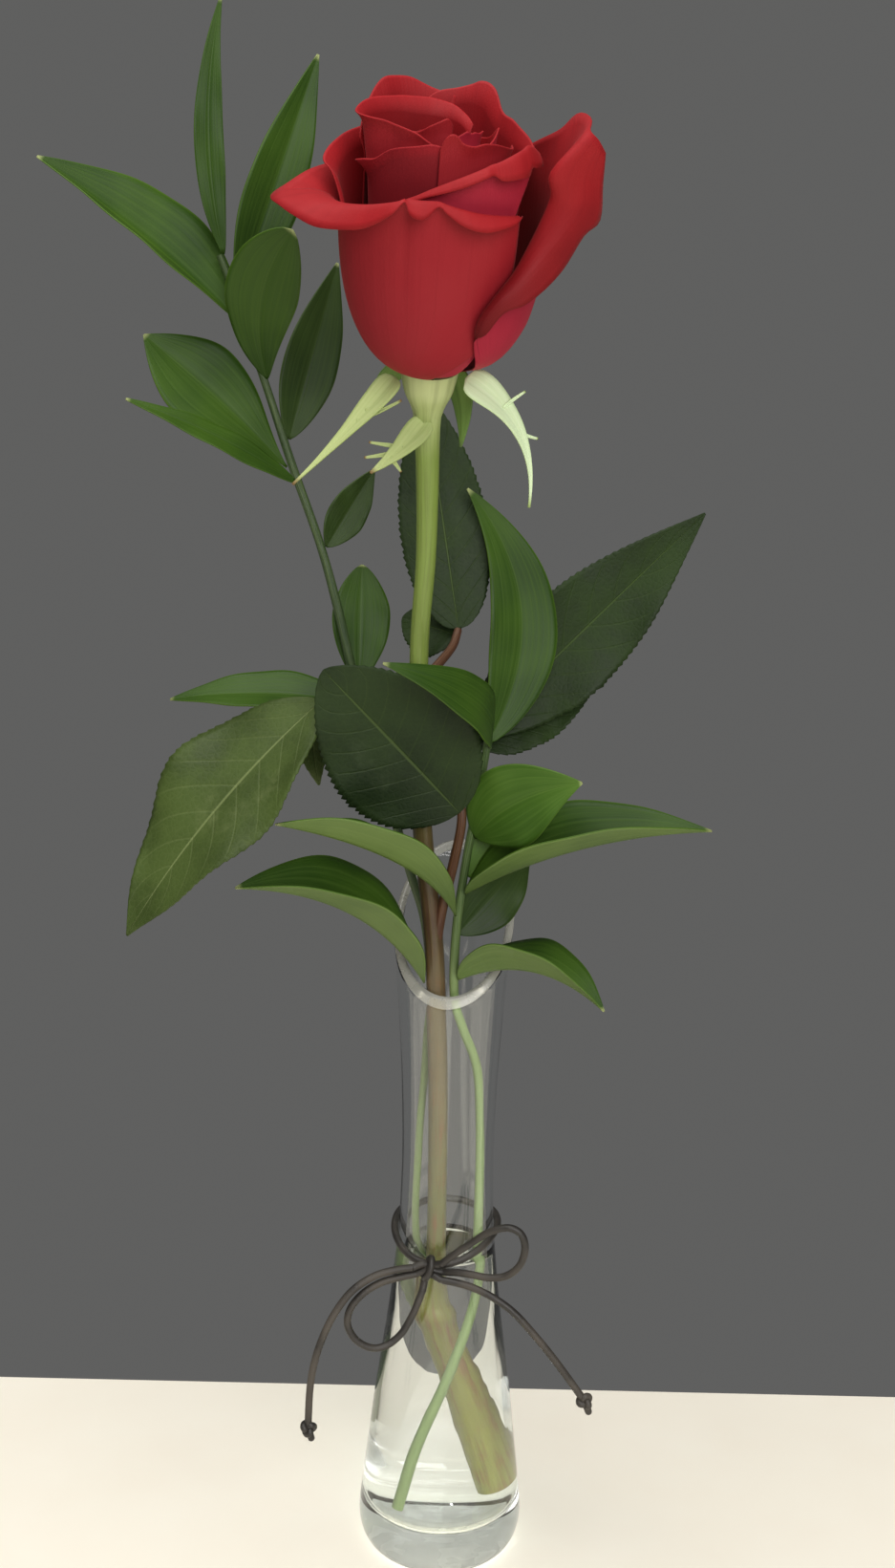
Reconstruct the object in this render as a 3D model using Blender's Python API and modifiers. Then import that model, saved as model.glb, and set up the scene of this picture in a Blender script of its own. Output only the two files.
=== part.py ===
"""A cut rose and two sprigs of ruscus standing in a clear bud vase with a cord bow.

Blender works in metres with +Z up. The sizes below are in millimetres and are scaled by MM where a
mesh or a curve is made. The origin is the centre of the vase's foot, and the front is towards -Y.
"""

import math

import bmesh
import bpy
from mathutils import Matrix, Vector

MM = 0.001
GAP = 0.35  # clearance between two pieces that touch
UP = Vector((0, 0, 1))

# Vase: (height, outer radius) from the foot up to the longest side, and a mouth cut on a slant.
VASE_OUTSIDE = [
    (0, 17.5), (1.2, 20.2), (4, 22.1), (9, 23), (15.6, 22.5), (31.6, 20.7), (45, 19.2), (57, 17.6),
    (69, 16), (79, 14.8), (88, 13.9), (97, 13.1), (108, 12.7), (120, 12.5), (134, 12.8), (148, 13.4),
    (165.5, 14.5), (184, 16), (203.2, 17.9),
]
VASE_WALL = 2.1
VASE_FLOOR = 12.0
VASE_SIDES = 32
MOUTH_WASTE = 4.0  # glass above the longest side, which the slanted cut takes away
MOUTH_MIDDLE = 182.7
MOUTH_SLOPE = math.radians(49)
MOUTH_TURN = math.radians(-7)
MOUTH_CUTTER = 160.0
WATER_LEVEL = 90.5
WATER_SIDES = 24

# Cord of the bow, and the ring that it makes round the neck.
CORD = 2.0
RING_BACK_HEIGHT = 98.5
RING_DROP = 6.5
KNOT_TURN = math.radians(-107)
KNOT_SIZE = (2.7, 2.4, 3.7)
KNOT_ROOM = math.radians(15.5)  # the ring stops this far from the middle of the knot on each side
RING_POINTS = 30
FREE_STEP = 4.0  # from one point of a free run to the next

# Flower head: where its petals start, how it leans, and the cup that the outermost petal follows.
HEAD = Vector((-8.6, -39, 329))
HEAD_TILT = math.radians(21)
HEAD_LEAN = math.radians(3)
RECEPTACLE = 6.8
CUP_HEIGHT = 38.0
CUP_RADIUS = 23.0
CUP_STEP = 1.2  # from one layer of petals to the next
CLAW_RADIUS = 5.6
CLAW_STEP = 0.35
CLAW_SPREAD = 20.0
PETAL_FOOT = 0.25
LAYER_LIFT = 0.3  # an inner petal starts this much higher than the one outside it
CUP_FULLNESS = 2.5
PETAL_ROWS = 10
BODY_ROWS = 6  # the rows below the brow, and the rest make the lip
PEELED_STRIP = 0.5  # the share of half a petal that its peeled margin takes
PETAL_THICK = 0.4
LEAF_THICK = 0.45
LEAF_ROWS = 7
LEAF_TIP = 0.25  # half the width of a leaf at its ends

# Stems: (x, y, z, radius) from the cut end up.
ROSE_STEM = [
    (10.4, 8, 13.5, 4), (4.5, 6, 43, 3.7), (-0.6, 4.2, 64, 3.4), (-1.8, 3.6, 70, 4), (-2.5, 3, 76, 3),
    (-2.6, 0.4, 100, 2.6), (-2.9, -4, 136, 2.5), (-4, -8.3, 165, 2.5), (-5.4, -9.8, 186, 2.5),
    (-8.4, -13.4, 212, 2.5), (-9.8, -18.6, 238, 2.4), (-10, -24, 263, 2.3), (-8.8, -28.4, 284, 2.4),
    (-8.7, -31.6, 303, 2.7), (-9, -34.2, 316, 3.1), (-8.9, -35.6, 320, 3.8), (-8.8, -37, 323.8, 5.6),
    (-8.6, -39, 329, 6.8),
]
PETIOLE_RIGHT = [
    (-4.9, -9.2, 178, 1.5), (-3.2, -11.5, 191, 1.4), (-0.4, -14.6, 205, 1.3), (1.4, -17.2, 217, 1.2),
    (0.4, -14, 225, 1.1), (1.4, -7, 231.5, 1.0), (4.2, -3, 235, 1.0),
]
PETIOLE_LEFT = [
    (-9.3, -17.6, 233, 1.5), (-14, -18.6, 240, 1.2), (-23, -19.2, 246, 1.1), (-33.6, -19.6, 247.6, 1.0),
]
PETIOLE_BACK = [
    (-9.9, -21.6, 252, 1.5), (-6, -17, 256, 1.2), (-2, -10, 260, 1.1), (-0.6, -5.6, 263.6, 1.0),
]
RUSCUS_LEFT = [
    (7.4, 14.4, 14.6, 1.3), (3.6, 13, 40, 1.3), (-3.4, 9.4, 66, 1.2), (-8.2, 4.4, 94, 1.2),
    (-8.6, 1, 120, 1.2), (-8.2, 0, 148, 1.2), (-9.2, 1.6, 184, 1.2), (-12.6, 2.6, 198, 1.2),
    (-20, 4.4, 224, 1.2), (-27, 5.6, 247, 1.2), (-31.6, 6, 266, 1.2), (-36.4, 6, 283, 1.1),
    (-44, 6, 304, 1.1), (-50.4, 6, 323, 1), (-58.6, 6, 346, 0.9), (-61.8, 6, 354, 0.8),
]
RUSCUS_RIGHT = [
    (-9.6, -6, 13.6, 1.4), (-5.5, -8, 35, 1.4), (2.6, -9, 61, 1.3), (7.6, -6, 81, 1.3),
    (8.5, -2.4, 104, 1.2), (8.4, -1.6, 128, 1.2), (7, -3.6, 145, 1.2), (3, -8.4, 158, 1.2),
    (0.6, -10.2, 168, 1.2), (0.8, -10.2, 186, 1.2), (2.8, -10, 204, 1.1), (5, -10, 218, 1.1),
    (7.6, -10, 236, 1),
]


def clear_scene():
    for found in list(bpy.data.objects):
        bpy.data.objects.remove(found)


def collection(name, hidden=False):
    made = bpy.data.collections.new(name)
    made.hide_render = hidden
    bpy.context.scene.collection.children.link(made)
    return made


def finish(name, colour, roughness):
    made = bpy.data.materials.new(name)
    made.use_nodes = True
    shader = made.node_tree.nodes["Principled BSDF"]
    shader.inputs["Base Color"].default_value = (*colour, 1)
    shader.inputs["Roughness"].default_value = roughness
    shader.inputs["Metallic"].default_value = 0
    return made


def add(name, mesh, material, place=None):
    made = bpy.data.objects.new(name, mesh)
    (place or PARTS).objects.link(made)
    if place is CUTTERS:
        made.display_type = "WIRE"
        made.hide_render = True
    mesh.materials.append(material)
    return made


def smooth(points, step):
    """Points about a step apart on a smooth curve through these, each with all its numbers."""
    rows = [Vector(p) for p in points]
    rows = [2 * rows[0] - rows[1], *rows, 2 * rows[-1] - rows[-2]]
    made = []
    for a, b, c, d in zip(rows, rows[1:], rows[2:], rows[3:]):
        count = max(1, round((c - b).length / step))
        for i in range(count):
            t = i / count
            made.append(
                0.5 * (2 * b + (c - a) * t + (2 * a - 5 * b + 4 * c - d) * t**2
                       + (3 * b - a - 3 * c + d) * t**3)
            )
    return [*made, rows[-2]]


def rod(name, points, material, sides=8, extra=0.0, place=None):
    """A closed mesh tube through points (x, y, z, radius), from a bevelled curve."""
    curve = bpy.data.curves.new(name, "CURVE")
    curve.dimensions = "3D"
    curve.bevel_depth = MM
    curve.bevel_resolution = sides // 2 - 2
    curve.use_fill_caps = True
    spline = curve.splines.new("POLY")
    spline.points.add(len(points) - 1)
    for point, (x, y, z, radius) in zip(spline.points, points):
        point.co = (x * MM, y * MM, z * MM, 1)
        point.radius = radius + extra
    guide = bpy.data.objects.new(name + "_guide", curve)
    bpy.context.scene.collection.objects.link(guide)
    bpy.context.view_layer.update()
    graph = bpy.context.evaluated_depsgraph_get()
    mesh = bpy.data.meshes.new_from_object(guide.evaluated_get(graph))
    shape = bmesh.new()
    shape.from_mesh(mesh)
    bmesh.ops.remove_doubles(shape, verts=shape.verts, dist=MM / 1000)
    bmesh.ops.recalc_face_normals(shape, faces=shape.faces)
    shape.to_mesh(mesh)
    shape.free()
    mesh.shade_smooth()
    made = add(name, mesh, material, place)
    made.matrix_world = guide.matrix_world
    bpy.data.objects.remove(guide)
    return made


def turned(name, profile, material, sides, place=None):
    """A turned solid from (height, radius) pairs that run top to bottom on the outer side."""
    mesh = bpy.data.meshes.new(name)
    points = [(radius * MM, 0, height * MM) for height, radius in profile]
    mesh.from_pydata(points, [(i, i + 1) for i in range(len(points) - 1)], [])
    made = add(name, mesh, material, place)
    screw = made.modifiers.new("turn", "SCREW")
    screw.steps = sides
    screw.render_steps = sides
    screw.use_merge_vertices = True
    screw.merge_threshold = 0.00001
    return made


def boolean(target, other, operation):
    cut = target.modifiers.new(other.name, "BOOLEAN")
    cut.operation = operation
    cut.object = other
    cut.solver = "EXACT"


def sheet(name, columns, rows, place_point, thickness, material):
    """A grid whose corners go where place_point(s, t) says (s -1 to 1, t 0 to 1), made solid."""
    shape = bmesh.new()
    bmesh.ops.create_grid(shape, x_segments=columns, y_segments=rows, size=1)
    for vertex in shape.verts:
        vertex.co = place_point(vertex.co.x, (vertex.co.y + 1) / 2) * MM
    mesh = bpy.data.meshes.new(name)
    shape.to_mesh(mesh)
    shape.free()
    mesh.shade_smooth()
    made = add(name, mesh, material)
    solid = made.modifiers.new("thickness", "SOLIDIFY")
    solid.thickness = thickness * MM
    solid.offset = 0
    return made


def on_route(route, height):
    """The centre, direction and radius of a stem at a height."""
    path = smooth(route, 4)
    for low, high in zip(path, path[1:]):
        if low.z <= height <= high.z:
            part = (height - low.z) / (high.z - low.z)
            middle = low.lerp(high, part)
            return middle.xyz, (high - low).xyz.normalized(), middle.w
    return path[-1].xyz, (path[-1] - path[-2]).xyz.normalized(), path[-1].w


def blade(base, tip, width, facing, bow=0.0, hook=0.0, fold=0.0, twist=0.0, widest=0.42, blunt=1.0):
    """The function of (s, t) for a leaf: a bowed midrib with two halves folded up from it.

    facing is where its upper side looks, bow lifts the middle towards that, hook moves the middle
    sideways, fold lifts both margins, and twist turns the tip against the base, in degrees.
    """
    along = (tip - base).normalized()
    side = along.cross(facing).normalized()
    upper = side.cross(along)
    middle = (base + tip) / 2 + 2 * bow * upper + 2 * hook * side
    skew = math.log(0.5) / math.log(widest)

    def point(s, t):
        spine = base * (1 - t) ** 2 + middle * 2 * t * (1 - t) + tip * t**2
        run = ((middle - base) * (1 - t) + (tip - middle) * t).normalized()
        turn = Matrix.Rotation(math.radians(twist) * (t - 0.3), 3, run)
        across = turn @ run.cross(upper).normalized()
        lift = across.cross(run)
        reach = max(math.sin(math.pi * t**skew), 0) ** blunt * width / 2 + LEAF_TIP
        opened = across * s * math.cos(math.radians(fold))
        return spine + reach * (opened + lift * abs(s) * math.sin(math.radians(fold)))

    return point


def beside(stem, height, out):
    """A point just off a stem at a height, on the side that out gives."""
    middle, along, radius = on_route(stem, height)
    out = (out - out.dot(along) * along).normalized()
    return middle + out * (radius + GAP + LEAF_TIP)


def leaf(name, stem, height, tip, width, facing, out=None, **shape):
    """A ruscus leaf that starts at a height beside its stem and ends at its tip."""
    base = beside(stem, height, Vector(out) if out else Vector(tip) - on_route(stem, height)[0])
    blade_point = blade(base, Vector(tip), width, Vector(facing), **shape)
    sheet(name, 2, LEAF_ROWS, blade_point, LEAF_THICK, RUSCUS_LEAF)


def cup_radius(height, layer):
    """How far from the head's axis a layer of petals stands at a height."""
    part = min(height / CUP_HEIGHT, 1.0)
    rise = math.sqrt(max(1 - (1 - part) ** CUP_FULLNESS, 0))
    claw = CLAW_RADIUS - CLAW_STEP * layer
    rim = CUP_RADIUS - CUP_STEP * layer
    return claw + (rim - claw) * rise


def through(left, middle, right, s):
    """A smooth value across a petal through its left margin, middle and right margin."""
    return middle + (right - left) / 2 * s + ((left + right) / 2 - middle) * s * s


def petal(name, layer, turn, spread, brow, lip, roll=3.2, bend=(85, 85, 85), lean=0.0, peel=(0, 0)):
    """A petal that follows its layer of the cup up to its brow and then rolls out in a lip.

    turn is where it faces round the head (-90 is the front), spread its half width there in degrees.
    brow and lip give the height of the brow and the length of the lip at the left, the middle and the
    right, and the lip rolls there through bend degrees. lean opens the petal outwards, in mm at the top of
    the cup. peel rolls the left and the right margin outwards, in degrees.
    """
    place = Matrix.Rotation(HEAD_TILT, 3, "X") @ Matrix.Rotation(HEAD_LEAN, 3, "Y")

    def point(s, t):
        top = through(*brow, s)
        body = min(t * PETAL_ROWS / BODY_ROWS, 1)
        onto = max(t * PETAL_ROWS - BODY_ROWS, 0) / (PETAL_ROWS - BODY_ROWS)
        foot = PETAL_FOOT + LAYER_LIFT * layer
        run = foot + body**1.7 * (CUP_HEIGHT - PETAL_FOOT) if body < 1 else top + onto * through(*lip, s)
        past = min(max(run - top, 0) / roll, math.radians(through(*bend, s)))
        straight = max(run - top - roll * past, 0)
        height = min(run, top) + roll * math.sin(past) + straight * math.cos(past)
        part = min(run / CUP_HEIGHT, 1.4)
        out = cup_radius(min(run, top) - LAYER_LIFT * layer, layer) + roll * (1 - math.cos(past))
        out += straight * math.sin(past) + lean * max(part - 0.25, 0) ** 2 / (0.75**2)
        open_up = min(part / 0.55, 1.0)
        half = math.radians(CLAW_SPREAD + (spread - CLAW_SPREAD) * open_up * (2 - open_up))
        margin = peel[0] if s < 0 else peel[1]
        strip = PEELED_STRIP if margin else 0.0
        flat = min(abs(s), 1 - strip)
        angle = math.radians(turn) + math.copysign(flat, s) * half
        outward = Vector((math.cos(angle), math.sin(angle), 0))
        onward = Vector((-math.sin(angle), math.cos(angle), 0)) * math.copysign(1, s)
        spot = outward * out + UP * height
        left_over = (abs(s) - flat) * half * out
        if left_over > 0:
            strength = min(max((part - 0.3) / 0.25, 0), 1)
            turning = math.radians(margin) * strength / (strip * half * out)
            if turning > 1e-6:
                spot += onward * math.sin(turning * left_over) / turning
                spot += outward * (1 - math.cos(turning * left_over)) / turning
            else:
                spot += onward * left_over
        return HEAD + place @ spot

    columns = max(6, math.ceil(2 * spread / (9 if any(peel) else 17)))
    sheet(name, columns, PETAL_ROWS, point, PETAL_THICK, PETAL)


clear_scene()
PARTS = collection("rose_in_bud_vase")
CUTTERS = collection("cutters", hidden=True)

GLASS = finish("clear glass", (0.9, 0.92, 0.92), 0.03)
WATER = finish("water", (0.85, 0.9, 0.9), 0.02)
STEM = finish("rose stem", (0.23, 0.25, 0.08), 0.5)
SEPAL = finish("sepal", (0.45, 0.55, 0.28), 0.55)
PETAL = finish("petal", (0.35, 0.02, 0.03), 0.6)
ROSE_LEAF = finish("rose leaf", (0.03, 0.05, 0.02), 0.45)
RUSCUS_STEM = finish("ruscus stem", (0.12, 0.2, 0.07), 0.45)
RUSCUS_LEAF = finish("ruscus leaf", (0.08, 0.17, 0.03), 0.35)
WAXED_CORD = finish("waxed cord", (0.02, 0.018, 0.016), 0.4)


# The vase: turned glass with a thick foot, its mouth cut off on a slant.
def vase_inside():
    """(height, radius) of the inner wall, from the middle of the floor up."""
    floor = [(VASE_FLOOR, 0), (VASE_FLOOR + 0.2, 14), (VASE_FLOOR + 1.6, 18), (VASE_FLOOR + 5, 20)]
    return floor + [(h, r - VASE_WALL) for h, r in VASE_OUTSIDE if h > floor[-1][0]]


inside = vase_inside()
vase_top = VASE_OUTSIDE[-1][0] + MOUTH_WASTE
vase_profile = [
    (VASE_FLOOR, 0), *inside[1:-1], (vase_top, inside[-1][1]), (vase_top, VASE_OUTSIDE[-1][1]),
    *VASE_OUTSIDE[::-1], (0, 0),
]
vase = turned("vase", vase_profile, GLASS, VASE_SIDES)
block = bmesh.new()
bmesh.ops.create_cube(block, size=MOUTH_CUTTER * MM)
block_mesh = bpy.data.meshes.new("mouth_cutter")
block.to_mesh(block_mesh)
block.free()
mouth = add("mouth_cutter", block_mesh, GLASS, CUTTERS)
mouth.matrix_world = (
    Matrix.Translation(UP * MOUTH_MIDDLE * MM)
    @ Matrix.Rotation(MOUTH_TURN, 4, "Z")
    @ Matrix.Rotation(MOUTH_SLOPE, 4, "X")
    @ Matrix.Translation(UP * MOUTH_CUTTER * MM / 2)
)
boolean(vase, mouth, "DIFFERENCE")

# The stems, each a rod along its route. The rose's carries three petioles and ends in the receptacle.
rose_route = smooth(ROSE_STEM, 9)
left_route = smooth(RUSCUS_LEFT, 12)
right_route = smooth(RUSCUS_RIGHT, 11)
rose_stem = rod("rose_stem", rose_route, STEM, sides=10)
for name, route in (("right", PETIOLE_RIGHT), ("left", PETIOLE_LEFT), ("back", PETIOLE_BACK)):
    petiole = rod("petiole_" + name, smooth(route, 7), STEM, sides=6, place=CUTTERS)
    boolean(rose_stem, petiole, "UNION")
rod("ruscus_stem_left", left_route, RUSCUS_STEM)
rod("ruscus_stem_right", right_route, RUSCUS_STEM)

# The water fills the foot up to its level, less a channel for each stem.
water_profile = [(WATER_LEVEL, 0), (WATER_LEVEL, 13.7 - VASE_WALL - GAP)]
water_profile += [(h, r - GAP) for h, r in inside[::-1] if 0 < r and h < WATER_LEVEL - 4]
water_profile = [(h + GAP if r < 15 and h < 14 else h, r) for h, r in water_profile]
water = turned("water", [*water_profile, (VASE_FLOOR + GAP, 0)], WATER, WATER_SIDES)
for name, route in (("rose", rose_route), ("left", left_route), ("right", right_route)):
    first = route[0] + (route[0] - route[1]).normalized() * 2
    wet = [first, *[p for p in route if p.z < WATER_LEVEL + 14]]
    channel = rod(name + "_channel", wet, WATER, extra=GAP + 0.1, place=CUTTERS)
    boolean(water, channel, "DIFFERENCE")


# The petals, outermost first.
EVEN = (60, 60, 60)
petal("petal_outer_right", 0, -3, 57, (34, 47, 44), (3, 6, 4), roll=8, bend=EVEN, lean=4.5, peel=(115, 0))
petal("petal_outer_front", 1, -100, 72, (36, 39.5, 38), (15, 6, 4), roll=2.8, bend=(92, 140, 120))
petal("petal_front_right", 2, -48, 72, (42, 46, 51), (0.6, 5, 6), bend=(60, 85, 90))
petal("petal_left", 3, 177, 65, (43, 49, 44), (1, 4, 4))
petal("petal_back", 4, 84, 56, (47, 48, 47), (3, 3, 3), bend=EVEN)
petal("petal_back_left", 5, 128, 64, (55, 57, 56), (2, 3, 3), roll=3, bend=EVEN)
petal("petal_back_right", 6, 34, 62, (53, 57, 56), (3, 3, 2), roll=3, bend=EVEN)
petal("petal_inner_front", 7, -98, 62, (47, 48, 50), (3, 2, 2), roll=2.4)
petal("petal_inner_left", 8, -156, 62, (56, 56, 50), (1, 4, 4), roll=2.6)
petal("petal_inner_right", 9, -24, 62, (50, 53, 54), (2, 2, 1), roll=2.4)
petal("petal_inner_back", 10, 96, 60, (54, 55, 54), (1, 1, 1), roll=2.2)
petal("petal_whorl_left", 11, 200, 58, (53, 53, 51), (1, 1, 2), roll=2)
petal("petal_whorl_front", 12, -62, 56, (53.6, 52, 52), (0.3, 1.5, 1), roll=2)
petal("petal_whorl_right", 13, 26, 54, (52, 53, 53), (1, 1, 1), roll=2)
petal("petal_whorl_back", 14, 134, 52, (53, 54, 53), (1, 1, 1), roll=2)


# The tightly rolled centre, one pointed bud.
core_profile = [(55, 0), (54.2, 1), (51, 2.4), (45, 3.5), (34, 4), (18, 3.2), (6, 1.6), (0.8, 0)]
core = turned("petal_centre", core_profile, PETAL, 14)
core.matrix_world = (
    Matrix.Translation(HEAD * MM)
    @ Matrix.Rotation(HEAD_TILT, 4, "X")
    @ Matrix.Rotation(HEAD_LEAN, 4, "Y")
)


# The sepals, bent back under the flower from the rim of the receptacle.
def sepal(name, turn, tip, width, bow, facing, **shape):
    place = Matrix.Rotation(HEAD_TILT, 3, "X") @ Matrix.Rotation(HEAD_LEAN, 3, "Y")
    angle = math.radians(turn)
    reach = RECEPTACLE + GAP + LEAF_TIP / 2
    base = HEAD + place @ Vector((math.cos(angle) * reach, math.sin(angle) * reach, -1.2))
    shape = blade(base, Vector(tip), width, Vector(facing), bow=bow, widest=0.22, **shape)
    sheet(name, 2, LEAF_ROWS, shape, LEAF_THICK, SEPAL)


sepal("sepal_left", 200, (-39, -50, 303), 8, 1.5, (-0.7, -0.3, 0.6))
sepal("sepal_front", 264, (-21, -56, 307), 8, 2, (-0.3, -0.8, 0.5))
sepal("sepal_right", -24, (15, -46, 299), 8.4, 4.5, (0.8, -0.4, 0.5))
sepal("sepal_back_right", 44, (-1, -32, 311), 7, 2, (0.5, 0.6, 0.4))
sepal("sepal_back_left", 118, (-24, -14, 316), 7, 3, (-0.4, 0.8, 0.5))


# The rose's leaflets, one or two at the end of each petiole and one at the right one's elbow.
def leaflet(name, base, tip, width, facing, **shape):
    shape = blade(Vector(base), Vector(tip), width, Vector(facing), **shape)
    sheet(name, 4, LEAF_ROWS, shape, LEAF_THICK, ROSE_LEAF)


def beyond(petiole, drop):
    """A point just past a petiole's end, this much lower."""
    end = Vector(petiole[-1][:3])
    return end + (end - Vector(petiole[-2][:3])).normalized() * (GAP + LEAF_TIP) - UP * drop


leaflet("leaflet_front", (0.8, -19.2, 219.4), (-33, -30, 257), 37, (0.2, -0.93, -0.25), blunt=0.68)
leaflet("leaflet_left", beyond(PETIOLE_LEFT, 0), (-81, -34, 190), 34, (-0.35, -0.7, 0.6), bow=5, fold=8)
leaflet("leaflet_left_small", beyond(PETIOLE_LEFT, 1.1), (-35, -12, 224), 10, (0.5, -0.8, 0.2), bow=-3)
leaflet("leaflet_right", beyond(PETIOLE_RIGHT, 0), (62, 8, 293), 27, (0.3, -0.9, 0.4), bow=-3, fold=10)
leaflet("leaflet_right_low", beyond(PETIOLE_RIGHT, 1.6), (36, 12, 250), 18, (0.3, -0.7, 0.7), blunt=0.7)
leaflet("leaflet_back", beyond(PETIOLE_BACK, 0), (-10, 4, 320), 22, (0.1, -0.98, 0.1), blunt=0.6)
leaflet("leaflet_back_low", beyond(PETIOLE_BACK, 1.6), (-15, 5, 265), 16, (0.1, -0.9, 0.4), blunt=0.7)

# The left sprig's leaves, from the top down.
LEFT = RUSCUS_LEFT
leaf("ruscus_leaf_tip", LEFT, 353.8, (-61, 6, 414), 6.8, (0.2, -0.9, 0.3), fold=10, hook=-3.4)
leaf("ruscus_leaf_b", LEFT, 339, (-105, 0, 376), 22, (0.15, -0.5, 0.85), out=(-1, -0.2, 0), bow=0,
     fold=30, hook=4, widest=0.36)
leaf("ruscus_leaf_c", LEFT, 345, (-38, 12, 402), 15, (0.5, -0.8, 0.3), fold=25)
leaf("ruscus_leaf_d", LEFT, 324, (-42, -14, 359.5), 18, (0.0, -0.9, 0.4), fold=3, hook=-5)
leaf("ruscus_leaf_e", LEFT, 303, (-80.5, 4, 334.5), 22, (0.25, -0.85, 0.45), out=(-1, -0.2, 0), bow=2,
     fold=8, widest=0.6)
leaf("ruscus_leaf_f", LEFT, 299, (-82.5, -12, 319.5), 7, (0.1, -0.7, 0.7), out=(-0.3, -1, 0), bow=2,
     fold=10)
leaf("ruscus_leaf_g", LEFT, 309, (-33, 14, 353), 14, (0.3, -0.9, 0.2), fold=15)
leaf("ruscus_leaf_h", LEFT, 282, (-23, 12, 302), 10, (0.4, -0.9, 0.2), fold=15)
leaf("ruscus_leaf_i", LEFT, 246, (-26, 15, 277), 15, (0.2, -0.97, 0.2), out=(0.5, 1, 0), fold=10)
leaf("ruscus_leaf_j", LEFT, 243, (-76, 10, 241), 13, (0.1, -0.6, 0.8), bow=3, fold=15)

# The right sprig's leaves, from the top down. The lowest one's foot is caught behind the rim.
RIGHT = RUSCUS_RIGHT
leaf("ruscus_leaf_k", RIGHT, 235, (1, -4, 299), 18, (0.3, -0.9, 0.3), out=(0, 1, 0), fold=10, hook=12)
leaf("ruscus_leaf_l", RIGHT, 235.2, (-18, -46, 262), 13, (0.15, -0.85, 0.55), out=(0.2, -1, 0), bow=11)
leaf("ruscus_leaf_m", RIGHT, 211, (31, -24, 229), 21, (0.1, -0.95, 0.3), out=(0.7, -0.8, 0), bow=3,
     fold=5, hook=-3)
leaf("ruscus_leaf_n", RIGHT, 200, (25.5, -4, 221), 16, (-0.1, -0.9, 0.4), out=(0.8, 0.6, 0), bow=1,
     fold=15)
leaf("ruscus_leaf_o", RIGHT, 196, (64, -22, 217), 28, (0, -0.22, 1), out=(0.7, -0.7, 0), bow=6, fold=46,
     hook=3)
leaf("ruscus_leaf_p", RIGHT, 184, (20, 8, 202), 15, (0.4, -0.8, 0.4), out=(0.3, 1, 0), bow=2, fold=10)
leaf("ruscus_leaf_q", RIGHT, 172.5, (38, -34, 173), 24, (0, 0.2, 0.98), out=(1, -0.8, 0), bow=6.5,
     fold=40)
leaf("ruscus_leaf_r", RIGHT, 190, (-44, -36, 220), 22, (0.1, 0.15, 1), out=(-0.5, -1, 0), bow=5, fold=38,
     hook=-9, widest=0.58)
leaf_foot = blade(Vector((-7.3, -9.8, 170.9)), Vector((-54, -34, 203)), 29, Vector((0.1, -0.2, 1)), bow=8,
                  fold=42, widest=0.5)
sheet("ruscus_leaf_s", 2, LEAF_ROWS, leaf_foot, LEAF_THICK, RUSCUS_LEAF)


# The cord: a ring round the neck, a knot in front, two loops and two tails with knotted ends.
def neck_radius(height):
    """The vase's outer radius at a height."""
    for (low, first), (high, last) in zip(VASE_OUTSIDE, VASE_OUTSIDE[1:]):
        if low <= height <= high:
            return first + (last - first) * (height - low) / (high - low)
    return VASE_OUTSIDE[-1][1]


def ring_point(angle):
    """The centre of the cord at an angle round the neck."""
    front = (1 - math.cos(angle - KNOT_TURN - math.pi)) / 2
    height = RING_BACK_HEIGHT - RING_DROP * front**3
    reach = neck_radius(height) + GAP + CORD / 2
    return Vector((math.cos(angle) * reach, math.sin(angle) * reach, height))


def cord(name, points):
    rod(name, [Vector((*p, CORD / 2)) for p in points], WAXED_CORD)


def free_cord(name, route):
    cord(name, smooth(route, FREE_STEP))


knot_middle = ring_point(KNOT_TURN)
knot_middle += Vector((math.cos(KNOT_TURN), math.sin(KNOT_TURN), 0)) * (KNOT_SIZE[1] - CORD / 2)
ring_turn = (2 * math.pi - 2 * KNOT_ROOM) / (RING_POINTS - 1)
cord("cord_ring", [ring_point(KNOT_TURN + KNOT_ROOM + ring_turn * i) for i in range(RING_POINTS)])


def lump(name, middle, size, turn):
    """A small hard knot, a rounded lump."""
    shape = bmesh.new()
    bmesh.ops.create_uvsphere(shape, u_segments=10, v_segments=6, radius=1)
    mesh = bpy.data.meshes.new(name)
    shape.to_mesh(mesh)
    shape.free()
    mesh.transform(
        Matrix.Translation(Vector(middle) * MM)
        @ Matrix.Rotation(turn, 4, "Y")
        @ Matrix.Diagonal((*[side * MM for side in size], 1))
    )
    mesh.shade_smooth()
    add(name, mesh, WAXED_CORD)


lump("bow_knot", knot_middle, KNOT_SIZE, 0)

# The free runs, by hand, from the knot outwards.
LOOP_RIGHT = [
    (-1.2, -18.3, 94.4), (2.2, -19.3, 97.8), (7.1, -19.8, 101.8), (11.3, -21, 105.4), (16.3, -22, 107.3),
    (19.8, -22.5, 105.7), (20.9, -22.5, 101.4), (19.6, -22, 96.4), (16.2, -21, 92.8), (11.6, -20, 91.6),
    (7.2, -18.7, 91.7), (3.2, -17.5, 91.6), (-0.6, -16.3, 91),
]
LOOP_LEFT = [
    (-7.9, -16.8, 90.6), (-11.8, -18, 90.2), (-17.2, -19.5, 89.2), (-22, -21, 86.6), (-25.2, -22, 82.6),
    (-25.8, -22.5, 78), (-23.4, -22.5, 73.6), (-19.2, -22, 71.2), (-15.2, -21, 71.6), (-11.6, -20, 74.4),
    (-9.2, -19, 78.2), (-7.3, -18, 82.4), (-6, -17, 86),
]
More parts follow.
